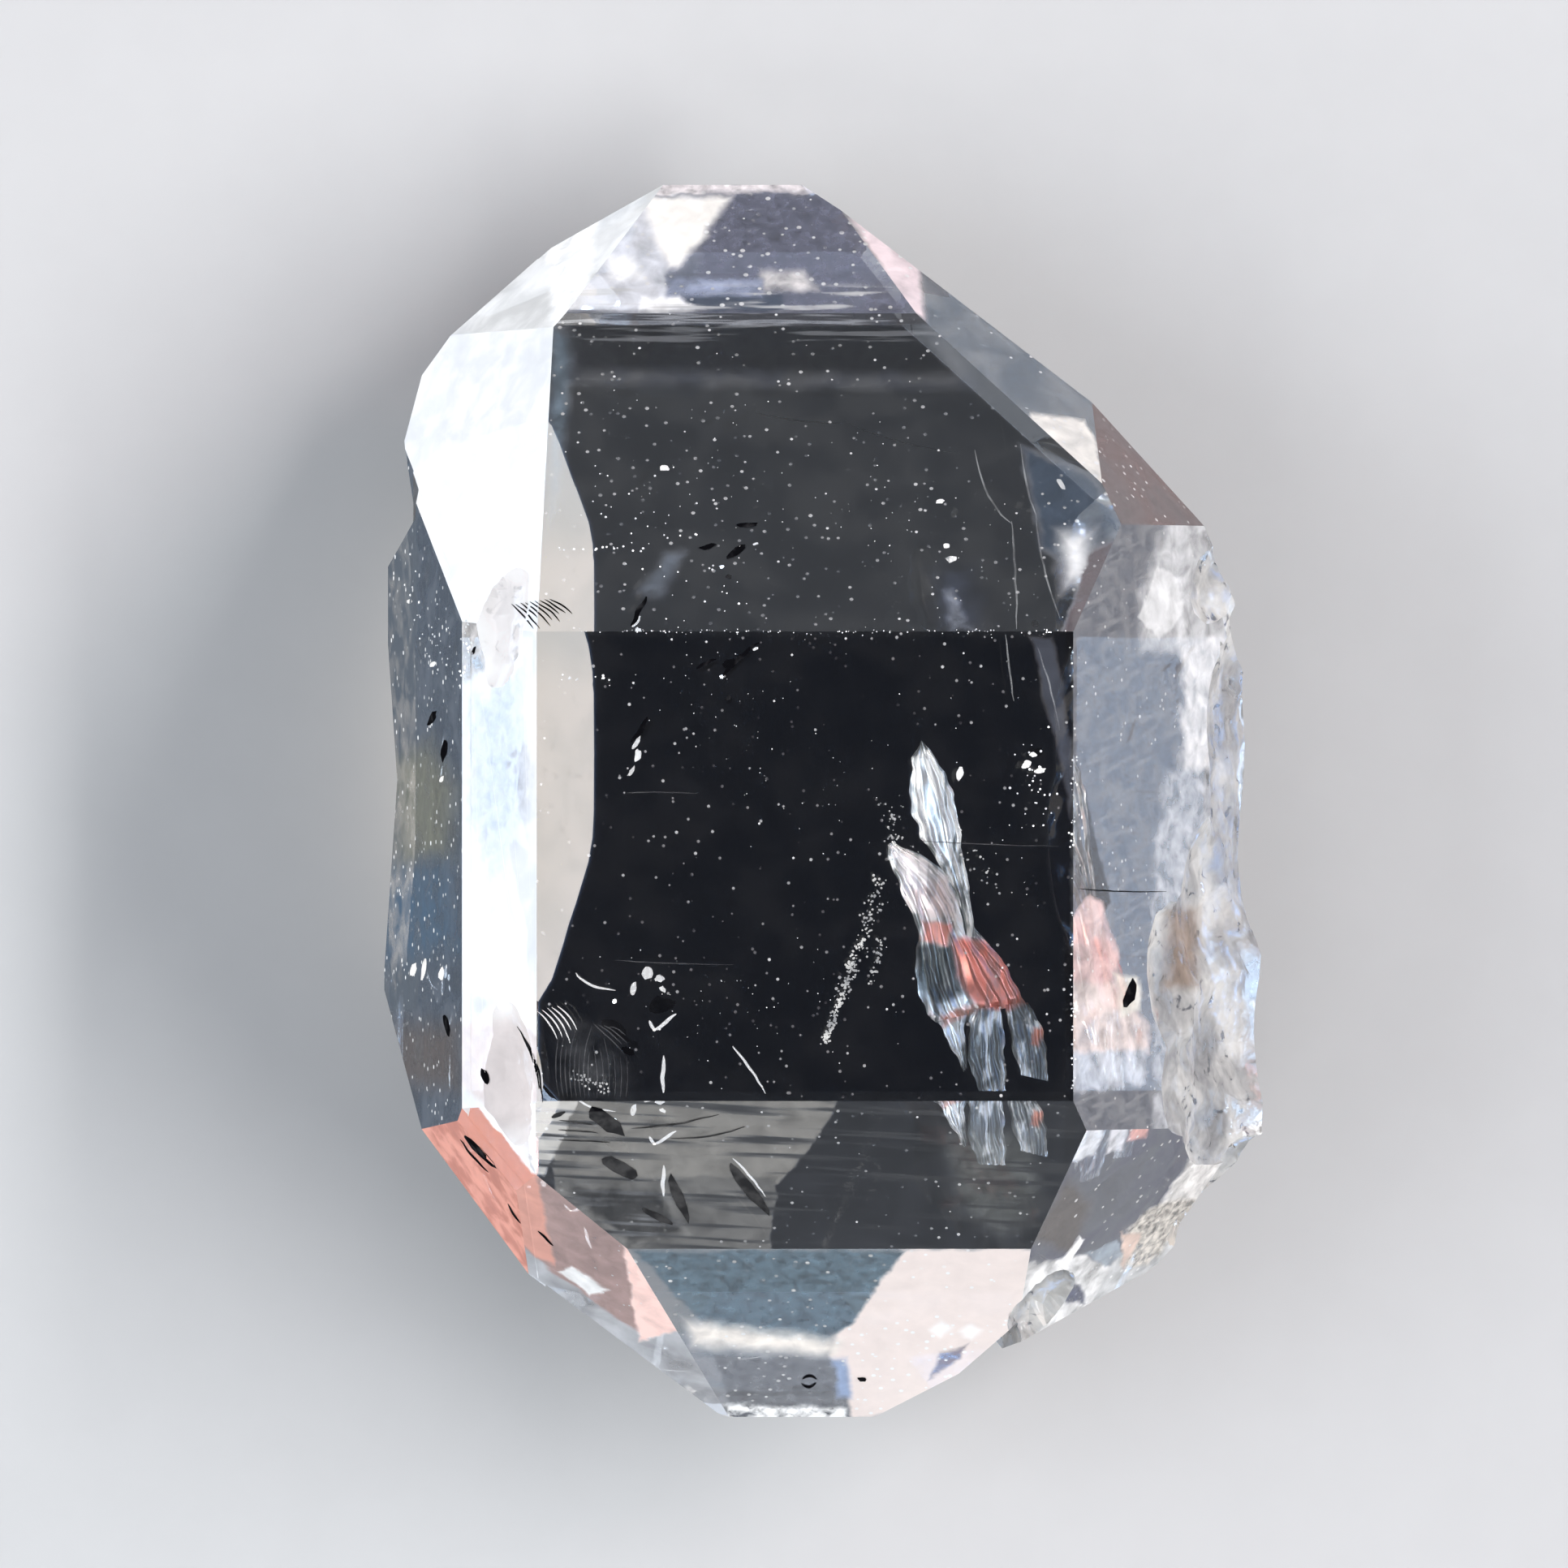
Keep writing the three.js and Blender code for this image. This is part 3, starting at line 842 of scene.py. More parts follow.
PLAIN_FACE = Face("growth", 0, 0, share=0.02, dust=0.0)

# brown, pale and salmon stains on the broken rim, and a near-black strip of painted shade along
# its inner edge
RIM_STAINS_AND_SHADE = (
    Patch(((5.5, -1.75), (6.05, -1.75), (6.05, -3.0), (5.5, -3.0)), 0.6, UMBER, blur=0.15,
          mottle=0.6),
    Patch(((4.7, -6.4), (6.2, -6.4), (6.2, -7.9), (4.7, -7.9)), 0.55, (0.7, 0.65, 0.58), blur=0.2,
          mottle=0.8),
    Patch(((4.72, -6.9), (5.1, -7.15), (4.9, -7.5)), 0.9, SALMON),
    Patch(((2.9, 4.2), (4.05, 4.2), (4.05, -4.9), (2.9, -4.9)), 0.95, SHADE_BLACK, blur=0.08, mottle=0.0),
)

# The whitish films are frosted broken quartz, brightened by a painted glow; the scar's cream film
# with its strong glow is a painted reflection, and its patch darkens its upper part; the chip's
# patch is a pinkish painted reflection.
BREAKS = (
    Broken("broken_rim", share=0.56, colour=(0.88, 0.87, 0.84), second=(0.56, 0.56, 0.57),
           grit=0.55, ripple=0.6, glow=0.16, patches=RIM_STAINS_AND_SHADE),
    Broken("broken_scar", share=1.4, colour=(0.93, 0.85, 0.76), second=(0.84, 0.78, 0.7),
           shade=(0.6, 0.56, 0.5), grit=0.12, ripple=0.1, through=0.5, glow=1.16,
           patches=(Patch(((-6.0, 9.0), (-2.0, 9.0), (-2.0, 2.3), (-6.0, 2.3)), 1.4,
                          (0.76, 0.73, 0.67), blur=0.7, mottle=0.0),)),
    Broken("broken_chip", share=0.9, colour=WHITE, second=(0.93, 0.9, 0.9), grit=0.14, ripple=0.3,
           glow=0.46, patches=(Patch(((-6.0, -3.4), (-4.0, -3.4), (-4.0, -5.3), (-6.0, -5.3)),
                                     0.88, (0.74, 0.68, 0.67), blur=0.3, mottle=0.1),)),
)


# The crystal


def piece_from(bm: BMesh, name: str, materials: Iterable[Material]) -> Object:
    """Makes a bmesh a piece of the crystal that rides its body.

    Args:
        bm: The shape, which is freed.
        name: The piece's name.
        materials: Its materials, in the order of the faces' indices.

    Returns:
        The piece.
    """
    mesh = bpy.data.meshes.new(name)
    bm.to_mesh(mesh)
    bm.free()
    for material in materials:
        mesh.materials.append(material)
    piece = bpy.data.objects.new(name, mesh)
    bpy.context.scene.collection.objects.link(piece)
    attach(piece, BODY)
    LOG.info("%s: %d faces", name, len(mesh.polygons))
    return piece


class Skin(IntEnum):
    """The skin's materials that come after those of the growth faces."""

    PLAIN = len(FACES)
    RIM = PLAIN + 1
    SCAR = PLAIN + 2
    CHIP = PLAIN + 3


@dataclass
class Crystal:
    """The crystal's skin: flat growth faces with softened edges, and crumbled broken ones.

    Its lengths are in millimetres.
    """

    node: str = "crystal"
    weld: float = 0.001
    coplanar: float = 0.4  # degrees
    grown_area: float = 0.6  # mm2 that a growth face has at least
    thin: float = 0.005  # a step's area, in squares of its perimeter
    edge: float = 0.012  # how wide its bevel is
    sharp: float = 8.0  # degrees that a bevelled edge turns by at least
    long: float = 0.6  # a bevelled edge, at least
    crumble: float = 0.06  # how far the rim's corners move
    ridges: float = 1.6  # per mm
    grits: float = 6.0
    grit: float = 0.4  # its share, beside that of the ridges
    aside: tuple[float, float, float] = (9, 4, 1)  # where the grit's noise is read
    sink: float = 0.9  # how far the rim is cut back, in its crumble
    split: float = 0.12  # the rim's edges that are split, at least
    smooth: float = 30.0  # degrees of the broken edges that are shaded smooth
    right: float = 2.0  # where the right side's breaks begin, in X
    under: float = -0.2  # of the normal's Z, where a break looks down
    facings: int = 200  # steps in which directions are told apart

    def build(self, quartz: Quartz) -> Object:
        """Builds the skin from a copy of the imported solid.

        Args:
            quartz: Its finish.

        Returns:
            The piece, which stands for the solid.
        """
        bm = bmesh.new()
        bm.from_mesh(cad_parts[self.node].data)
        bmesh.ops.remove_doubles(bm, verts=bm.verts, dist=self.weld * MM)
        bmesh.ops.dissolve_limit(bm, angle_limit=math.radians(self.coplanar), verts=bm.verts,
                                 edges=bm.edges)
        self.sort_faces(bm)
        self.heal_steps(bm)
        self.crumble_rim(bm)
        self.soften_edges(bm)
        materials = [kind.material(quartz) for kind in (*FACES, PLAIN_FACE, *BREAKS)]
        piece = piece_from(bm, "crystal_skin", materials)
        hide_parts(self.node)
        return piece

    def sort_faces(self, bm: BMesh) -> None:
        """Gives each face a material, by the area that its direction has in all."""
        areas: dict[tuple[int, ...], float] = defaultdict(float)
        for face in bm.faces:
            areas[self.direction(face)] += face.calc_area()
        for face in bm.faces:
            if areas[self.direction(face)] < self.grown_area * MM * MM:
                face.material_index = self.breakage(face)
                continue
            named = [i for i, grown in enumerate(FACES) if grown.faces(face.normal)]
            face.material_index = named[0] if named else Skin.PLAIN
        for face in bm.faces:
            face.smooth = face.material_index > Skin.PLAIN
        for edge in bm.edges:
            edge.smooth = (all(face.smooth for face in edge.link_faces)
                           and edge.calc_face_angle(0.0) < math.radians(self.smooth))

    def heal_steps(self, bm: BMesh) -> None:
        """Gives the hair-thin steps of the flank the finish of the face beside them."""
        flanks = [i for i, grown in enumerate(FACES) if grown.name.endswith("flank")]
        steps = [face for face in bm.faces if face.material_index in flanks
                 and face.calc_area() < self.thin * face.calc_perimeter() ** 2]
        steps = bmesh.ops.triangulate(bm, faces=steps)["faces"]
        for face in steps:
            face.tag = True
            beside = [(edge.calc_length(), other.material_index) for edge in face.edges
                      for other in edge.link_faces if other not in steps]
            if beside:
                face.material_index = max(beside)[1]

    def breakage(self, face: BMFace) -> int:
        """Which of the breaks a broken face belongs to."""
        spot = face.calc_center_median() / MM
        if spot.x > self.right:
            return Skin.RIM
        return Skin.SCAR if face.normal.z < self.under else Skin.CHIP

    def direction(self, face: BMFace) -> tuple[int, ...]:
        """A face's normal, rounded so that coplanar faces agree."""
        return tuple(round(along * self.facings) for along in face.normal)

    def crumble_rim(self, bm: BMesh) -> None:
        """Splits the broken rim's faces and moves their inner corners into small ridges."""
        edges = [edge for edge in bm.edges
                 if any(face.material_index == Skin.RIM for face in edge.link_faces)
                 and edge.calc_length() > self.split * MM]
        bmesh.ops.subdivide_edges(bm, edges=edges, cuts=1, use_grid_fill=True)
        bm.normal_update()
        moves: list[tuple[BMVert, Vector]] = []
        for vert in bm.verts:
            if all(face.material_index == Skin.RIM for face in vert.link_faces):
                spot = vert.co / MM
                ridge = 1 - 2 * abs(noise.noise(spot * self.ridges))
                grit = noise.noise(spot * self.grits + Vector(self.aside))
                out = self.crumble * (ridge - self.sink + self.grit * grit)
                moves.append((vert, vert.normal * (out * MM)))
        for vert, move in moves:
            vert.co += move

    def soften_edges(self, bm: BMesh) -> None:
        """Bevels the edges where two growth faces meet, as thin as a hair."""
        edges = [edge for edge in bm.edges
                 if all(face.material_index <= Skin.PLAIN and not face.tag
                        for face in edge.link_faces)
                 and edge.calc_face_angle(0.0) > math.radians(self.sharp)
                 and edge.calc_length() > self.long * MM]
        bmesh.ops.bevel(bm, geom=edges, offset=self.edge * MM, offset_type="OFFSET", segments=1,
                        profile=0.5, affect="EDGES", material=-1, clamp_overlap=True)


# The feathery crack


def follow(points: tuple[Point, ...], share: float) -> Vector:
    """A point on a line through points.

    Args:
        points: The line's corners.
        share: How far along it, from 0 to 1, by equal steps from corner to corner.

    Returns:
        The point.
    """
    step = share * (len(points) - 1)
    first = min(int(step), len(points) - 2)
    return Vector(points[first]).lerp(Vector(points[first + 1]), step - first)


@dataclass
class Sheet:
    """A thin crack inside the crystal, between a left and a right border."""

    name: str
    left: tuple[Point, ...]  # mm
    right: tuple[Point, ...]
    height: float  # mm above the floor, at its upper end
    drop: float = 0.0  # how much lower its lower end is
    lean: float = 0.0  # how much lower its right border is
    ribs: int = 6  # across
    rib: float = 0.05  # mm
    stray: float = 0.6  # of the ribs, in their width
    bends: Point = (3.0, 2.5)  # of the ribs, across and along
    waves: float = 0.05  # mm
    swell: float = 1.8  # waves per mm
    across: int = 36  # squares
    along: int = 40
    fray: float = 0.06  # mm, of its borders
    teeth: float = 5.0  # of the borders per mm

    def build(self, finish: Silver) -> Object:
        """Builds the sheet.

        Args:
            finish: Its finish.

        Returns:
            The piece.
        """
        bm = bmesh.new()
        bmesh.ops.create_grid(bm, x_segments=self.across, y_segments=self.along, size=0.5)
        for vert in bm.verts:
            side, way = vert.co.x + 0.5, 0.5 - vert.co.y
            start, end = follow(self.left, way), follow(self.right, way)
            spot = start.lerp(end, side)
            edge = 1 - abs(2 * side - 1)
            fray = noise.noise(Vector((*spot * self.teeth, self.height))) * self.fray
            spot += (end - start).normalized() * fray * (1 - edge) * (1 if side > 0.5 else -1)
            stray = noise.noise(Vector((side * self.bends[0], way * self.bends[1],
                                        self.height))) * self.stray
            rib = abs(math.modf(side * self.ribs + stray)[0] - 0.5) * 2
            wave = noise.noise(Vector((spot.x * self.swell, spot.y * self.swell,
                                       self.height * 3)))
            lift = (self.height - self.drop * way - self.lean * side + self.rib * rib
                    + self.waves * wave)
            vert.co = Vector((spot.x, spot.y, lift)) * MM
        bmesh.ops.recalc_face_normals(bm, faces=bm.faces)
        for face in bm.faces:
            face.smooth = True
        return piece_from(bm, self.name, [finish.material()])


# Stains on the feathery crack: salmon and red iron stains, pale patches, and near-black patches of
# painted shade
FEATHER_STAINS_AND_SHADE = (
    Patch(((1.04, -0.7), (1.55, -0.85), (2.0, -1.25), (2.2, -1.7), (1.6, -1.95), (1.3, -1.45)),
          0.9, (0.94, 0.88, 0.87)),
    Patch(((1.42, 0.6), (1.62, 0.85), (1.85, 0.2), (2.1, -0.8), (1.9, -1.0), (1.42, -0.1)), 0.9,
          (0.94, 0.92, 0.89), blur=0.06),
    Patch(((1.43, -2.3), (2.1, -2.3), (2.3, -3.1), (1.8, -3.35), (1.48, -2.95)), 0.9,
          (0.1, 0.11, 0.11), blur=0.12, mottle=0.5),
    Patch(((1.35, -1.45), (1.95, -1.3), (2.1, -1.9), (1.6, -1.9)), 0.7, (0.95, 0.8, 0.76),
          blur=0.12, mottle=0.5),
    Patch(((2.55, -2.2), (3.05, -2.7), (3.45, -3.4), (3.25, -3.4), (2.95, -2.85)), 0.9,
          (0.06, 0.06, 0.06)),
    Patch(((1.58, -1.9), (2.05, -2.0), (2.0, -2.34), (1.64, -2.28)), 1.0, (0.95, 0.42, 0.34),
          mottle=0.0),
    Patch(((2.08, -2.22), (2.62, -2.26), (2.87, -2.5), (3.1, -2.88), (3.28, -3.22), (2.9, -3.38),
           (2.5, -3.34), (2.16, -2.8)), 1.0, (0.95, 0.33, 0.25), blur=0.07, mottle=0.0),
    Patch(((1.9, -3.45), (2.45, -3.25), (2.45, -3.4), (1.9, -3.65)), 1.0, (0.95, 0.6, 0.52),
          mottle=0.0),
    Patch(((3.36, -3.6), (3.52, -3.66), (3.48, -3.98), (3.34, -3.9)), 1.0, (0.95, 0.42, 0.3),
          blur=0.04, mottle=0.0),
)

FEATHER = (
    Sheet("feather_blade", left=((1.56, 0.95), (1.41, 0.59), (1.38, 0.17), (1.45, -0.25),
                                 (1.6, -0.66), (1.88, -1.02), (2.12, -1.45), (2.28, -2.16)),
          right=((1.59, 0.95), (1.84, 0.66), (2.02, 0.29), (2.13, -0.15), (2.22, -0.62),
                 (2.32, -1.23), (2.4, -1.83), (2.43, -2.2)), height=4.55, drop=0.3, lean=0.16,
          ribs=3, rib=0.07),
    Sheet("feather_body", left=((1.04, -0.71), (1.1, -1.04), (1.27, -1.41), (1.43, -1.83),
                                (1.52, -2.16), (1.49, -2.62), (1.55, -3.09), (1.68, -3.42),
                                (1.84, -3.56)),
          right=((1.1, -0.66), (1.55, -0.85), (1.98, -1.22), (2.24, -1.65), (2.43, -2.06),
                 (2.85, -2.53), (3.08, -2.9), (3.2, -3.14), (3.27, -3.26)), height=4.3,
          drop=0.35, lean=0.25, ribs=5, rib=0.08),
    Sheet("feather_fan_left", left=((1.84, -3.54), (1.98, -3.8), (2.12, -4.08), (2.27, -4.34)),
          right=((2.28, -3.44), (2.3, -3.75), (2.3, -4.05), (2.3, -4.3)), height=3.95, drop=0.25,
          lean=0.05, ribs=3, rib=0.06, across=16, along=16),
    Sheet("feather_fan_middle", left=((2.36, -3.35), (2.32, -3.75), (2.34, -4.2), (2.48, -4.66)),
          right=((2.86, -3.3), (2.88, -3.75), (2.92, -4.25), (2.94, -4.66)), height=3.95, drop=0.3,
          lean=0.1, ribs=4, rib=0.08, across=24, along=20),
    Sheet("feather_fan_right", left=((2.9, -3.28), (2.98, -3.6), (3.06, -4.0), (3.16, -4.4)),
          right=((3.3, -3.24), (3.48, -3.55), (3.6, -4.0), (3.6, -4.5)), height=3.95, drop=0.3,
          lean=0.1, ribs=5, rib=0.08, across=24, along=20),
)


# The small flaws


class Lie(Enum):
    """How far under the crystal's surface a flaw lies, in millimetres."""

    UNDER = 0.05
    ON = -0.012


@dataclass
class Roof:
    """The crystal's upper surface."""

    node: str = "crystal"
    above: float = 30.0  # mm, from where it is felt for
    beside: float = 4.0  # mm, its height where there is no crystal
    tree: BVHTree = field(init=False)

    def __post_init__(self) -> None:
        """Reads the solid's faces."""
        bm = bmesh.new()
        bm.from_mesh(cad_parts[self.node].data)
        self.tree = BVHTree.FromBMesh(bm)
        bm.free()

    def height(self, x: float, y: float) -> float:
        """How high the surface is above the floor at a place, all in millimetres."""
        hit = self.tree.ray_cast(Vector((x, y, self.above)) * MM, Vector((0, 0, -1)))[0]
        return hit.z / MM if hit else self.beside


@dataclass(frozen=True, kw_only=True)
class Flaw:
    """A small crack, flake or group of specks."""

    height: float | None = None  # mm above the floor, or else it follows the surface
    lie: Lie = Lie.ON

    def level(self, roof: Roof, spot: Vector) -> float:
        """How high above the floor it is at a place, all in millimetres."""
        return roof.height(*spot) - self.lie.value if self.height is None else self.height

    def add(self, bm: BMesh, roof: Roof) -> None:
        """Adds the flaw to a mesh.

        Args:
            bm: The mesh.
            roof: The crystal's surface.
        """
        raise NotImplementedError


@dataclass(frozen=True)
class Fan(Flaw):
    """Hairline cracks side by side, from a first curve to a last one."""

    first: Curve
    last: Curve | None = None
    count: int = 1
    width: float = 0.02  # mm
    steps: int = 10
    least: float = 0.6  # how far the shortest of many reaches
    ends: float = 0.96  # of the steps' reach, so that its ends aren't points
    stray: float = 0.6  # from the curve, in its width
    bends: float = 5.0  # of the stray per mm

    def add(self, bm: BMesh, roof: Roof) -> None:
        """Adds the cracks."""
        last = self.last or self.first
        for line in range(self.count):
            share = line / max(self.count - 1, 1)
            start, bend, end = (Vector(a).lerp(Vector(b), share)
                                for a, b in zip(self.first, last))
            reach = 1.0 if self.count == 1 else random.uniform(self.least, 1.0)
            grid = bmesh.ops.create_grid(bm, x_segments=1, y_segments=self.steps, size=0.5)
            for vert in grid["verts"]:
                way = (vert.co.y + 0.5) * reach
                spot = start.lerp(bend, way).lerp(bend.lerp(end, way), way)
                run = (bend - start).lerp(end - bend, way).normalized()
                width = self.width * math.sin(math.pi * (vert.co.y * self.ends + 0.5)) ** 0.5
                stray = noise.noise(Vector((*spot * self.bends, line))) * self.width * self.stray
                spot += Vector((-run.y, run.x)) * (vert.co.x * width + stray)
                vert.co = Vector((*spot, self.level(roof, spot))) * MM


@dataclass(frozen=True)
class Flake(Flaw):
    """A small flat flaw with a ragged border."""

    centre: Point
    size: tuple[float, float]
    turn: float = 0.0  # degrees from +X towards +Y of its long side
    corners: int = 11
    ragged: Point = (0.75, 1.2)  # how near and far its corners are, in its size
    tilt: float = 0.2
    rise: float = 0.1  # mm, that its rim may rise or fall at most

    def add(self, bm: BMesh, roof: Roof) -> None:
        """Adds the flake, tilted where it doesn't lie on the surface."""
        disc = bmesh.ops.create_circle(bm, cap_ends=True, segments=self.corners, radius=0.5)
        lean = random.uniform(0, math.tau)
        slope = Vector((math.cos(lean), math.sin(lean))) * self.tilt
        turn = math.radians(self.turn)
        for vert in disc["verts"]:
            ragged = random.uniform(*self.ragged)
            x, y = vert.co.x * self.size[0] * ragged, vert.co.y * self.size[1] * ragged
            away = Vector((x * math.cos(turn) - y * math.sin(turn),
                           x * math.sin(turn) + y * math.cos(turn)))
            spot = Vector(self.centre) + away
            level = self.level(roof, spot)
            if self.height is not None or self.lie is Lie.UNDER:
                level += slope.dot(away) * min(1.0, self.rise / max(self.size))
            vert.co = Vector((*spot, level)) * MM


@dataclass(frozen=True)
class Trail(Flaw):
    """Specks scattered along a line."""

    start: Point
    end: Point
    count: int
    spread: float = 0.08  # mm
    size: float = 0.05  # mm, of the largest
    least: float = 0.35  # the smallest, in the size of the largest
    sunk: float = 0.6  # how far a speck is in the surface, in its radius

    def add(self, bm: BMesh, roof: Roof) -> None:
        """Adds the specks."""
        for _ in range(self.count):
            spot = Vector(self.start).lerp(Vector(self.end), random.random())
            spot += Vector((random.gauss(0, self.spread), random.gauss(0, self.spread)))
            radius = self.size / 2 * random.uniform(self.least, 1.0)
            level = self.level(roof, spot)
            if self.height is None:
                level -= radius * self.sunk
            place = Matrix.Translation(Vector((*spot, level)) * MM)
            bmesh.ops.create_icosphere(bm, subdivisions=1, radius=radius * MM, matrix=place)


@dataclass
class Flaws:
    """Many small flaws of one finish, in one mesh."""

    name: str
    parts: tuple[Flaw, ...]
    finish: PaintedShade | Silver | Grain
    slot: str = "fracture"

    def build(self, roof: Roof) -> Object:
        """Builds the flaws.

        Args:
            roof: The crystal's surface.

        Returns:
            The piece.
        """
        bm = bmesh.new()
        for part in self.parts:
            part.add(bm, roof)
        return piece_from(bm, self.name, [self.finish.material()])


def cracks(*rows: tuple[float, ...], **ways: Any) -> tuple[Fan, ...]:
    """Single cracks that lie alike.

    Args:
        rows: Each one's X and Y at its start, its bend and its end, and its width.
        ways: How they lie.

    Returns:
        The cracks.
    """
    return tuple(Fan(((x0, y0), (x1, y1), (x2, y2)), width=width, **ways)
                 for x0, y0, x1, y1, x2, y2, width in rows)


def flakes(*rows: tuple[float, ...], **ways: Any) -> tuple[Flake, ...]:
    """Flakes that lie alike.

    Args:
        rows: Each one's X, Y, length, width and turn.
        ways: How they lie.

    Returns:
        The flakes.
    """
    return tuple(Flake((x, y), (long, wide), turn, **ways) for x, y, long, wide, turn in rows)


# Cracks and flakes finished in painted shade, black where the crystal looks dark
DARK_FLAWS: tuple[Flaw, ...] = (
    *cracks((-3.04, 0.92, -2.94, 1.1, -2.78, 1.32, 0.08),
            (-1.6, 1.98, -1.45, 2.18, -1.03, 2.53, 0.07),
            (-2.02, 2.1, -1.9, 2.2, -1.7, 2.24, 0.06)),
    *flakes((-1.5, 2.19, 0.2, 0.11, 30), (-1.22, 4.4, 0.38, 0.08, 5),
            (-1.85, 4.05, 0.28, 0.08, 15), (-1.36, 3.98, 0.38, 0.12, 35),
            (-1.5, 3.57, 0.1, 0.08, 0)),
    *cracks((-3.05, 2.78, -2.95, 2.98, -2.8, 3.24, 0.08)),
    Fan(((-4.98, 3.13), (-4.75, 2.95), (-4.58, 2.68)),
        ((-4.36, 3.21), (-4.04, 3.08), (-3.86, 2.8)), count=9, width=0.029),
    Fan(((-4.7, -3.88), (-4.49, -4.25), (-4.46, -4.82)),
        ((-4.88, -3.6), (-4.57, -4.1), (-4.51, -4.62)), count=4, width=0.033),
    *cracks((-1.09, 6.2, -0.38, 6.02, 0.28, 6.03, 0.033),
            (0.34, 6.07, 0.99, 5.72, 2.17, 5.54, 0.021), lie=Lie.UNDER),
    *cracks((-3.05, -5.22, -2.33, -5.19, -1.66, -4.99, 0.026),
            (-2.43, -5.38, -1.81, -5.4, -1.24, -5.19, 0.026)),
    Fan(((-4.2, -5.09), (-3.84, -5.12), (-3.65, -5.17)),
        ((-4.23, -5.4), (-3.57, -5.43), (-3.18, -5.46)), count=3, width=0.023),
    *cracks((-5.82, -5.44, -5.6, -5.73, -5.36, -5.96, 0.039),
            (-5.05, -6.46, -4.97, -6.64, -4.84, -6.77, 0.039),
            (-4.57, -6.9, -4.44, -7.02, -4.32, -7.13, 0.039),
            (4.06, -1.4, 4.52, -1.46, 5.5, -1.46, 0.021)),
    *flakes((-1.51, 1.63, 0.1, 0.07, 30)),
    *flakes((-2.61, -3.31, 0.44, 0.29, 20), (-3.34, -3.69, 0.52, 0.23, -38), height=1.4),
    *flakes((-3.44, -5.12, 0.65, 0.29, -35), (-3.23, -5.87, 0.7, 0.21, -30),
            (-1.22, -6.15, 1.1, 0.17, -52), (-2.31, -6.32, 0.81, 0.16, -68),
            (-2.65, -6.64, 0.55, 0.1, -28), (-4.21, -5.0, 0.21, 0.07, 20),
            (-5.4, -4.4, 0.26, 0.12, -70), (-5.58, 2.4, 0.16, 0.06, 70),
            (-3.1, -3.98, 0.26, 0.12, -30), (0.63, -9.32, 0.15, 0.08, -10)),
    *cracks((-0.34, -9.3, -0.22, -9.2, -0.1, -9.32, 0.05),
            (-0.34, -9.38, -0.22, -9.5, -0.1, -9.38, 0.05)),
    *flakes((-5.51, -5.6, 0.7, 0.12, -43)),
    *flakes((3.41, 0.77, 0.21, 0.13, 40), lie=Lie.UNDER),
    *flakes((4.91, -3.08, 0.46, 0.17, 72), (-6.28, 1.32, 0.29, 0.1, 60),
            (-6.08, 0.8, 0.34, 0.12, 80), (-6.03, -3.6, 0.39, 0.1, -75)),
    *flakes((3.37, 2.8, 0.13, 0.1, 0), lie=Lie.UNDER),
)

BRIGHT_FLAWS: tuple[Flaw, ...] = (
    *cracks((-2.78, -3.54, -2.76, -3.63, -2.71, -3.72, 0.052),
            (-2.73, -3.72, -2.56, -3.6, -2.36, -3.44, 0.059),
            (-2.56, -4.11, -2.57, -4.42, -2.58, -4.71, 0.065),
            (-1.45, -3.97, -1.21, -4.2, -0.92, -4.72, 0.039),
            (-3.98, -2.78, -3.87, -3.0, -3.34, -3.07, 0.039), height=1.4),
    Fan(((-4.55, -3.35), (-4.23, -3.6), (-4.2, -3.97)),
        ((-4.23, -3.26), (-3.94, -3.47), (-3.84, -3.84)), count=5, width=0.024, lie=Lie.UNDER),
    *flakes((-3.0, 0.93, 0.26, 0.07, 60), (-2.98, 0.72, 0.22, 0.1, 80),
            (-3.08, 0.47, 0.2, 0.06, 55), (-1.63, 1.99, 0.08, 0.07, 0),
            (-1.08, 2.44, 0.1, 0.05, 20), (-2.82, -2.78, 0.23, 0.18, 60),
            (-2.63, -2.87, 0.16, 0.12, 0), (-2.58, -3.04, 0.12, 0.08, -50),
            (-3.05, -3.04, 0.23, 0.1, 75), (-3.35, -3.24, 0.08, 0.08, 0), height=1.4),
    *flakes((3.24, 0.58, 0.18, 0.12, 30), (3.44, 0.47, 0.21, 0.09, 10),
            (3.34, 0.73, 0.12, 0.08, 0), (2.17, 0.43, 0.21, 0.13, 75), (-2.53, 5.3, 0.16, 0.1, 0),
            (1.87, 4.77, 0.17, 0.07, 10), (2.04, 3.84, 0.2, 0.11, 10), (1.97, 4.05, 0.1, 0.1, 0),
            (3.8, 5.04, 0.22, 0.08, -60), lie=Lie.UNDER),
    *flakes((-6.12, 0.34, 0.13, 0.07, 60), (-6.67, 3.21, 0.1, 0.07, 0),
            (-6.26, 2.19, 0.13, 0.07, 40), (-6.42, -2.73, 0.34, 0.09, 80),
            (-6.6, -2.73, 0.26, 0.1, 70), (-6.12, -2.79, 0.21, 0.09, 80)),
)

PALE_FLAWS: tuple[Flaw, ...] = (
    *cracks((2.43, 5.6, 2.56, 4.71, 3.01, 4.41, 0.031),
            (3.01, 4.45, 3.07, 3.74, 3.08, 2.72, 0.034),
            (3.16, 5.69, 3.24, 4.91, 3.41, 4.52, 0.029),
            (3.4, 4.52, 3.45, 3.74, 3.76, 2.89, 0.029), (2.9, 2.64, 2.95, 2.17, 3.03, 1.58, 0.029),
            (3.41, 2.43, 3.61, 1.91, 3.76, 1.12, 0.026), lie=Lie.UNDER),
)

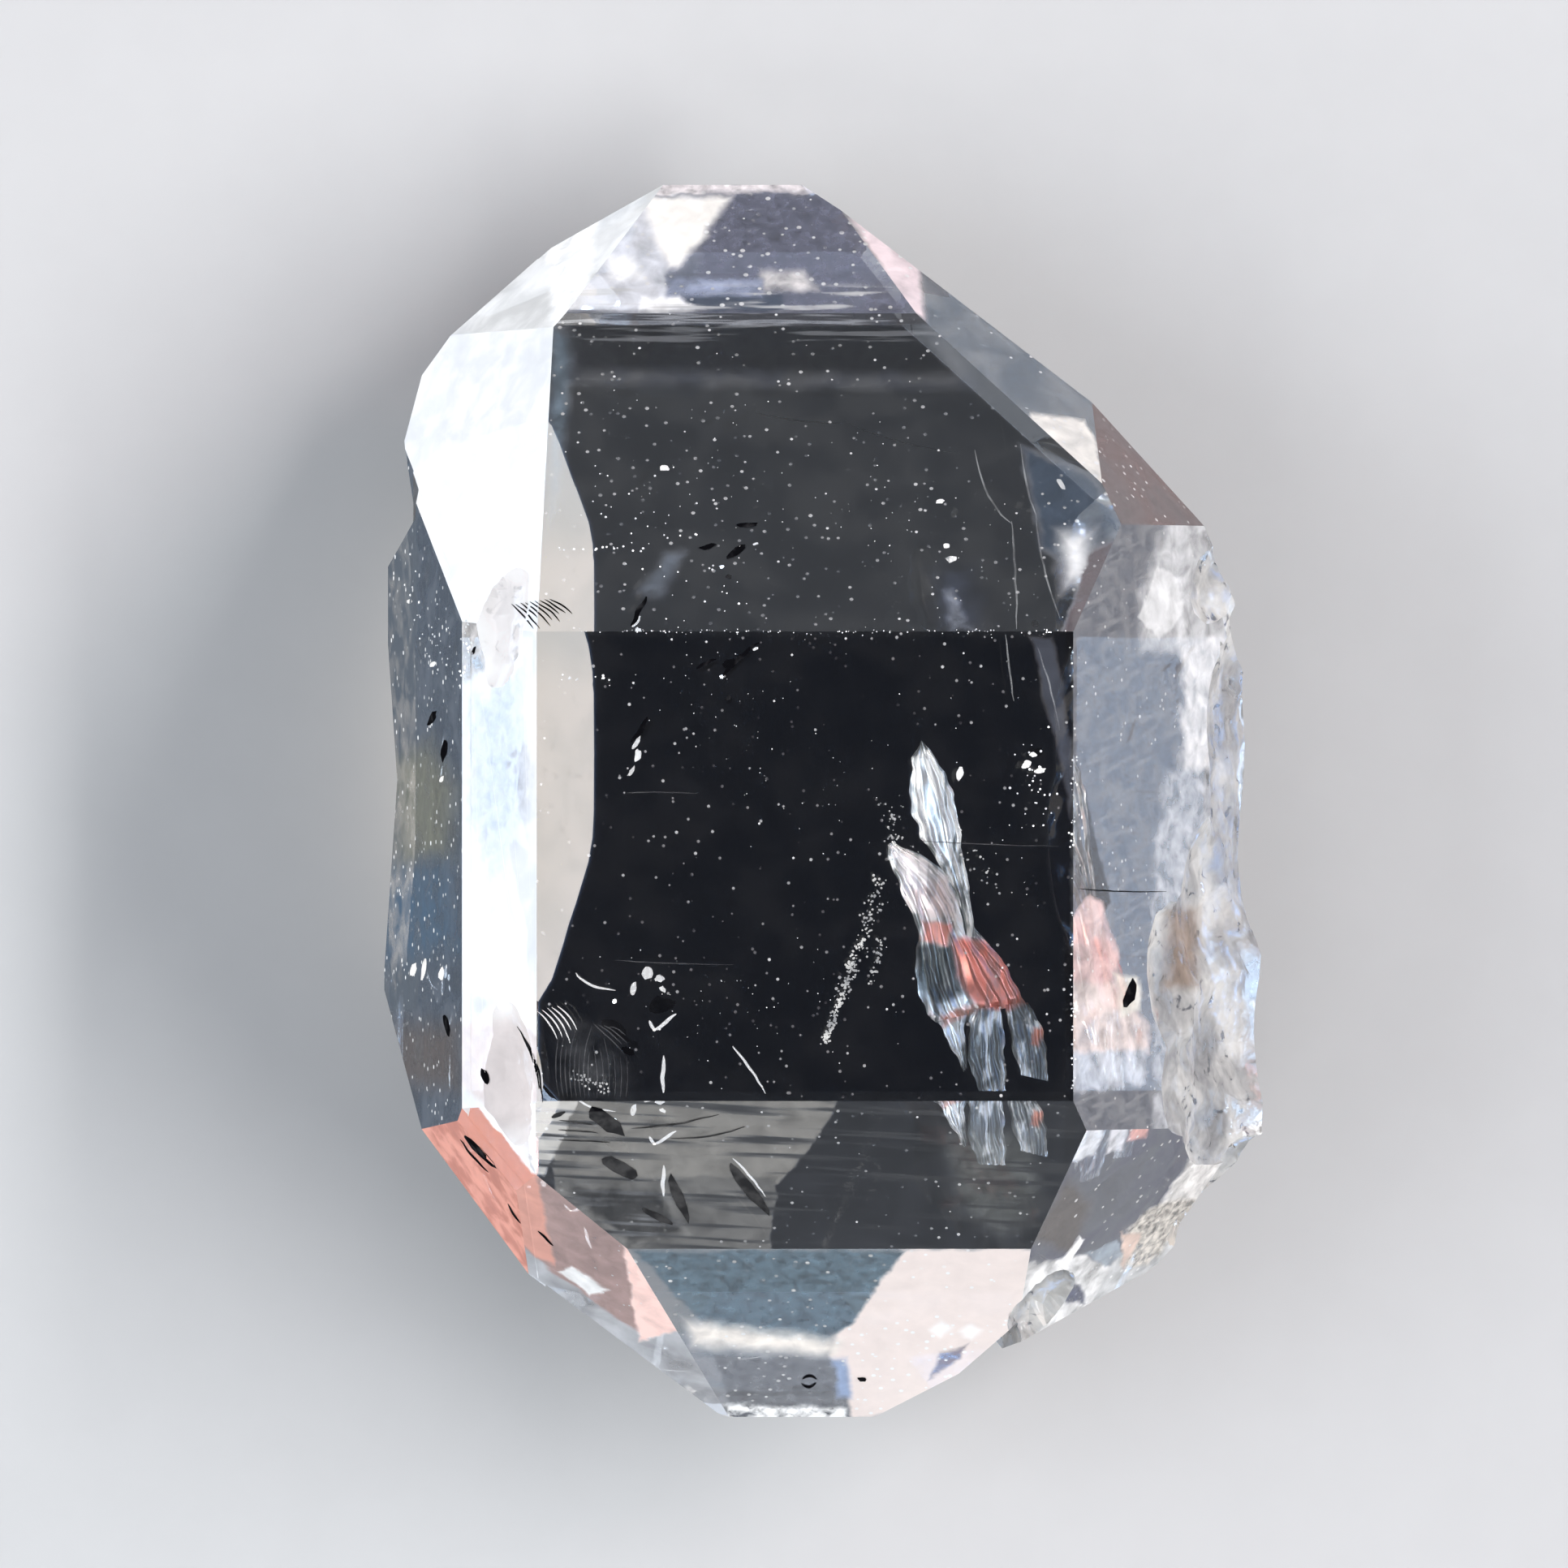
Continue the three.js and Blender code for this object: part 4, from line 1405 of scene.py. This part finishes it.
HAIRS: tuple[Flaw, ...] = (
    *cracks((-3.12, 0.12, -2.66, 0.15, -2.01, 0.11, 0.021),
            (-3.31, -2.54, -2.53, -2.6, -1.42, -2.61, 0.018),
            (1.52, -0.64, 2.43, -0.7, 3.74, -0.73, 0.016), lie=Lie.UNDER),
    Fan(((-4.2, -4.7), (-4.34, -4.1), (-4.12, -3.44)),
        ((-3.72, -4.72), (-3.8, -4.1), (-3.6, -3.6)), count=8, width=0.016, lie=Lie.UNDER),
    Fan(((-3.6, -4.72), (-3.56, -4.25), (-3.7, -3.7)),
        ((-3.14, -4.72), (-3.06, -4.3), (-3.2, -3.75)), count=6, width=0.014, lie=Lie.UNDER),
    Fan(((-3.4, -3.6), (-3.2, -3.6), (-3.02, -3.9)), ((-3.66, -3.55), (-3.4, -3.75), (-3.1, -4.1)),
        count=4, width=0.018, lie=Lie.UNDER),
)

SPECKS: tuple[Flaw, ...] = (
    Trail((0.02, -3.9), (0.47, -2.6), 130, spread=0.045, size=0.06, height=6.0),
    Trail((0.47, -2.7), (0.95, -1.2), 120, spread=0.075, height=6.0),
    Trail((0.93, -2.2), (0.76, -2.95), 40, spread=0.03, height=6.0),
    Trail((1.06, 0.0), (1.2, -0.96), 50, spread=0.09, size=0.045, height=6.0),
    Trail((2.2, -0.6), (2.9, -1.6), 26, spread=0.15, height=6.5),
    Trail((3.3, 0.9), (3.45, -0.2), 34, spread=0.18),
    Trail((-4.1, 2.69), (3.9, 2.69), 90, spread=0.02, size=0.028),
    Trail((-3.9, 6.6), (3.2, 3.0), 140, spread=0.9, size=0.02),
    Trail((-3.6, 2.2), (2.9, -1.0), 120, spread=0.9, size=0.02),
    Trail((1.0, -2.6), (-3.0, -3.6), 60, spread=0.6, size=0.02),
    Trail((-4.36, 4.02), (-2.9, 4.02), 16, spread=0.02),
    Trail((-4.2, 1.94), (-3.3, 1.95), 12, spread=0.03),
    Trail((3.96, 2.5), (3.96, -4.6), 54, spread=0.03, size=0.045),
    Trail((-3.9, 5.4), (-1.5, 3.2), 50, spread=0.35, size=0.045),
    Trail((-3.95, -4.35), (-3.4, -4.62), 40, spread=0.06, height=8.7),
    Trail((-6.6, 3.6), (-6.1, 2.0), 34, spread=0.18),
    Trail((-5.8, 1.9), (-5.6, 3.2), 40, spread=0.05),
)

# The dark cracks are painted shade; the bright and pale cracks, the hairs and the specks have a
# painted glow.
ALL_FLAWS = (
    Flaws("dark_cracks", DARK_FLAWS, PaintedShade()),
    Flaws("bright_cracks", BRIGHT_FLAWS, Silver("bright", glow=0.55, roughness=0.4, dark=0.36)),
    Flaws("pale_cracks", PALE_FLAWS,
          Grain("pale", colour=(0.34, 0.35, 0.36), second=(0.12, 0.12, 0.125), size=2.2)),
    Flaws("hairs", HAIRS,
          Grain("hair", colour=(0.11, 0.11, 0.115), second=(0.04, 0.04, 0.045), size=2.2)),
    Flaws("specks", SPECKS, Grain()),
)


# The studio


@dataclass(frozen=True)
class SoftBox:
    """An area light, by where it stands as seen from the crystal."""

    name: str
    turn: float  # degrees from +X towards +Y
    rise: float  # degrees above the floor
    width: float  # degrees that it spans across
    height: float  # degrees that it spans up
    radiance: float
    colour: Colour = (1.0, 1.0, 1.0)
    distance: float = 0.6

    def build(self) -> None:
        """Builds the light, facing the crystal."""
        light = bpy.data.lights.new(self.name, "AREA")
        light.shape = "RECTANGLE"
        light.size = 2 * self.distance * math.tan(math.radians(self.width / 2))
        light.size_y = 2 * self.distance * math.tan(math.radians(self.height / 2))
        light.energy = self.radiance * WATTS_PER_RADIANCE * light.size * light.size_y
        light.color = self.colour
        out = heading(self.turn, self.rise)
        lamp = bpy.data.objects.new(self.name, light)
        lamp.location = out * self.distance
        lamp.rotation_mode = "QUATERNION"
        lamp.rotation_quaternion = out.to_track_quat("Z", "Y")
        bpy.context.scene.collection.objects.link(lamp)


SOFT_BOXES = (
    SoftBox("key", turn=0, rise=47.5, width=60, height=8, radiance=17),
    SoftBox("fill", turn=180, rise=48, width=30, height=14, radiance=4, colour=(0.85, 0.92, 1.0)),
    SoftBox("low_fill", turn=180, rise=20, width=60, height=22, radiance=3.5, distance=1.6),
    SoftBox("glow", turn=33, rise=24, width=20, height=9, radiance=5, colour=(1.0, 0.36, 0.25)),
    SoftBox("rim", turn=-113, rise=51, width=16, height=10, radiance=3),
)


@dataclass
class Studio:
    """The floor, the room's light, the soft boxes and the camera."""

    bounces: int = 11  # enough to pass the crystal and what is inside it
    noise: float = 0.08  # at which a pixel is done
    view: float = 25.22  # mm, width of what the camera sees
    centre: Point = (-0.624, 0.263)  # mm
    focus: float = 4.5  # mm, height at which the view is that wide
    height: float = 400.0  # mm
    sensor: float = 36.0
    floor_size: float = 4.0  # m
    gap: float = 0.01  # mm of air under the crystal
    near: float = 0.01  # m, within which the camera sees nothing
    far: float = 10.0
    room: Colour = (0.60, 0.64, 0.70)
    ceiling: Colour = (0.085, 0.10, 0.14)
    wall_top: float = 30.0  # degrees above the floor
    ceiling_from: float = 72.0

    def build(self) -> None:
        """Builds everything round the crystal."""
        self.settle_render()
        self.build_room()
        self.build_floor()
        self.build_camera()
        for box in SOFT_BOXES:
            box.build()

    def settle_render(self) -> None:
        """Lets light pass many clear faces, and keeps the shadow under the crystal dark."""
        bpy.context.scene.view_settings.view_transform = "Standard"
        cycles = bpy.context.scene.cycles
        cycles.max_bounces = cycles.transmission_bounces = self.bounces
        cycles.diffuse_bounces = 2
        cycles.glossy_bounces = 8
        cycles.transparent_max_bounces = 12
        cycles.adaptive_threshold = self.noise
        cycles.sample_clamp_indirect = 0.0
        cycles.caustics_reflective = cycles.caustics_refractive = False

    def build_room(self) -> None:
        """A pale room with a darker ceiling."""
        world = bpy.data.worlds.new("room")
        bpy.context.scene.world = world
        world.use_nodes = True
        nodes, links = world.node_tree.nodes, world.node_tree.links
        coords = nodes.new("ShaderNodeTexCoord")
        split = nodes.new("ShaderNodeSeparateXYZ")
        ramp = nodes.new("ShaderNodeValToRGB")
        low, high = ramp.color_ramp.elements
        low.position, low.color = math.sin(math.radians(self.wall_top)), (*self.room, 1.0)
        high.position = math.sin(math.radians(self.ceiling_from))
        high.color = (*self.ceiling, 1.0)
        links.new(coords.outputs["Generated"], split.inputs[0])
        links.new(split.outputs["Z"], ramp.inputs[0])
        links.new(ramp.outputs[0], nodes["Background"].inputs["Color"])

    def build_floor(self) -> None:
        """A plain floor, a hair under the crystal."""
        bm = bmesh.new()
        bmesh.ops.create_grid(bm, x_segments=1, y_segments=1, size=self.floor_size / 2)
        bmesh.ops.translate(bm, verts=bm.verts, vec=(0, 0, -self.gap * MM))
        mesh = bpy.data.meshes.new("floor")
        bm.to_mesh(mesh)
        bm.free()
        mesh.materials.append(Paper().material())
        floor = bpy.data.objects.new("floor", mesh)
        bpy.context.scene.collection.objects.link(floor)

    def build_camera(self) -> None:
        """A long lens that looks straight down."""
        data = bpy.data.cameras.new("camera")
        data.sensor_width = self.sensor
        data.lens = self.sensor * (self.height - self.focus) / self.view
        data.clip_start, data.clip_end = self.near, self.far
        camera = bpy.data.objects.new("camera", data)
        camera.location = Vector((*self.centre, self.height)) * MM
        bpy.context.scene.collection.objects.link(camera)
        bpy.context.scene.camera = camera


def main() -> None:
    """Builds the crystal and what is inside it, then the studio round it."""
    logging.basicConfig(level=logging.INFO, format="%(name)s: %(message)s")
    random.seed(SEED)
    Crystal().build(Quartz())
    feather = Silver("feather", patches=FEATHER_STAINS_AND_SHADE)
    fan = Silver("fan", dark=0.52, patches=FEATHER_STAINS_AND_SHADE)
    for sheet in FEATHER:
        sheet.build(fan if "fan" in sheet.name else feather)
    roof = Roof()
    for flaws in ALL_FLAWS:
        flaws.build(roof)
    Studio().build()


if __name__ == "__main__":
    main()
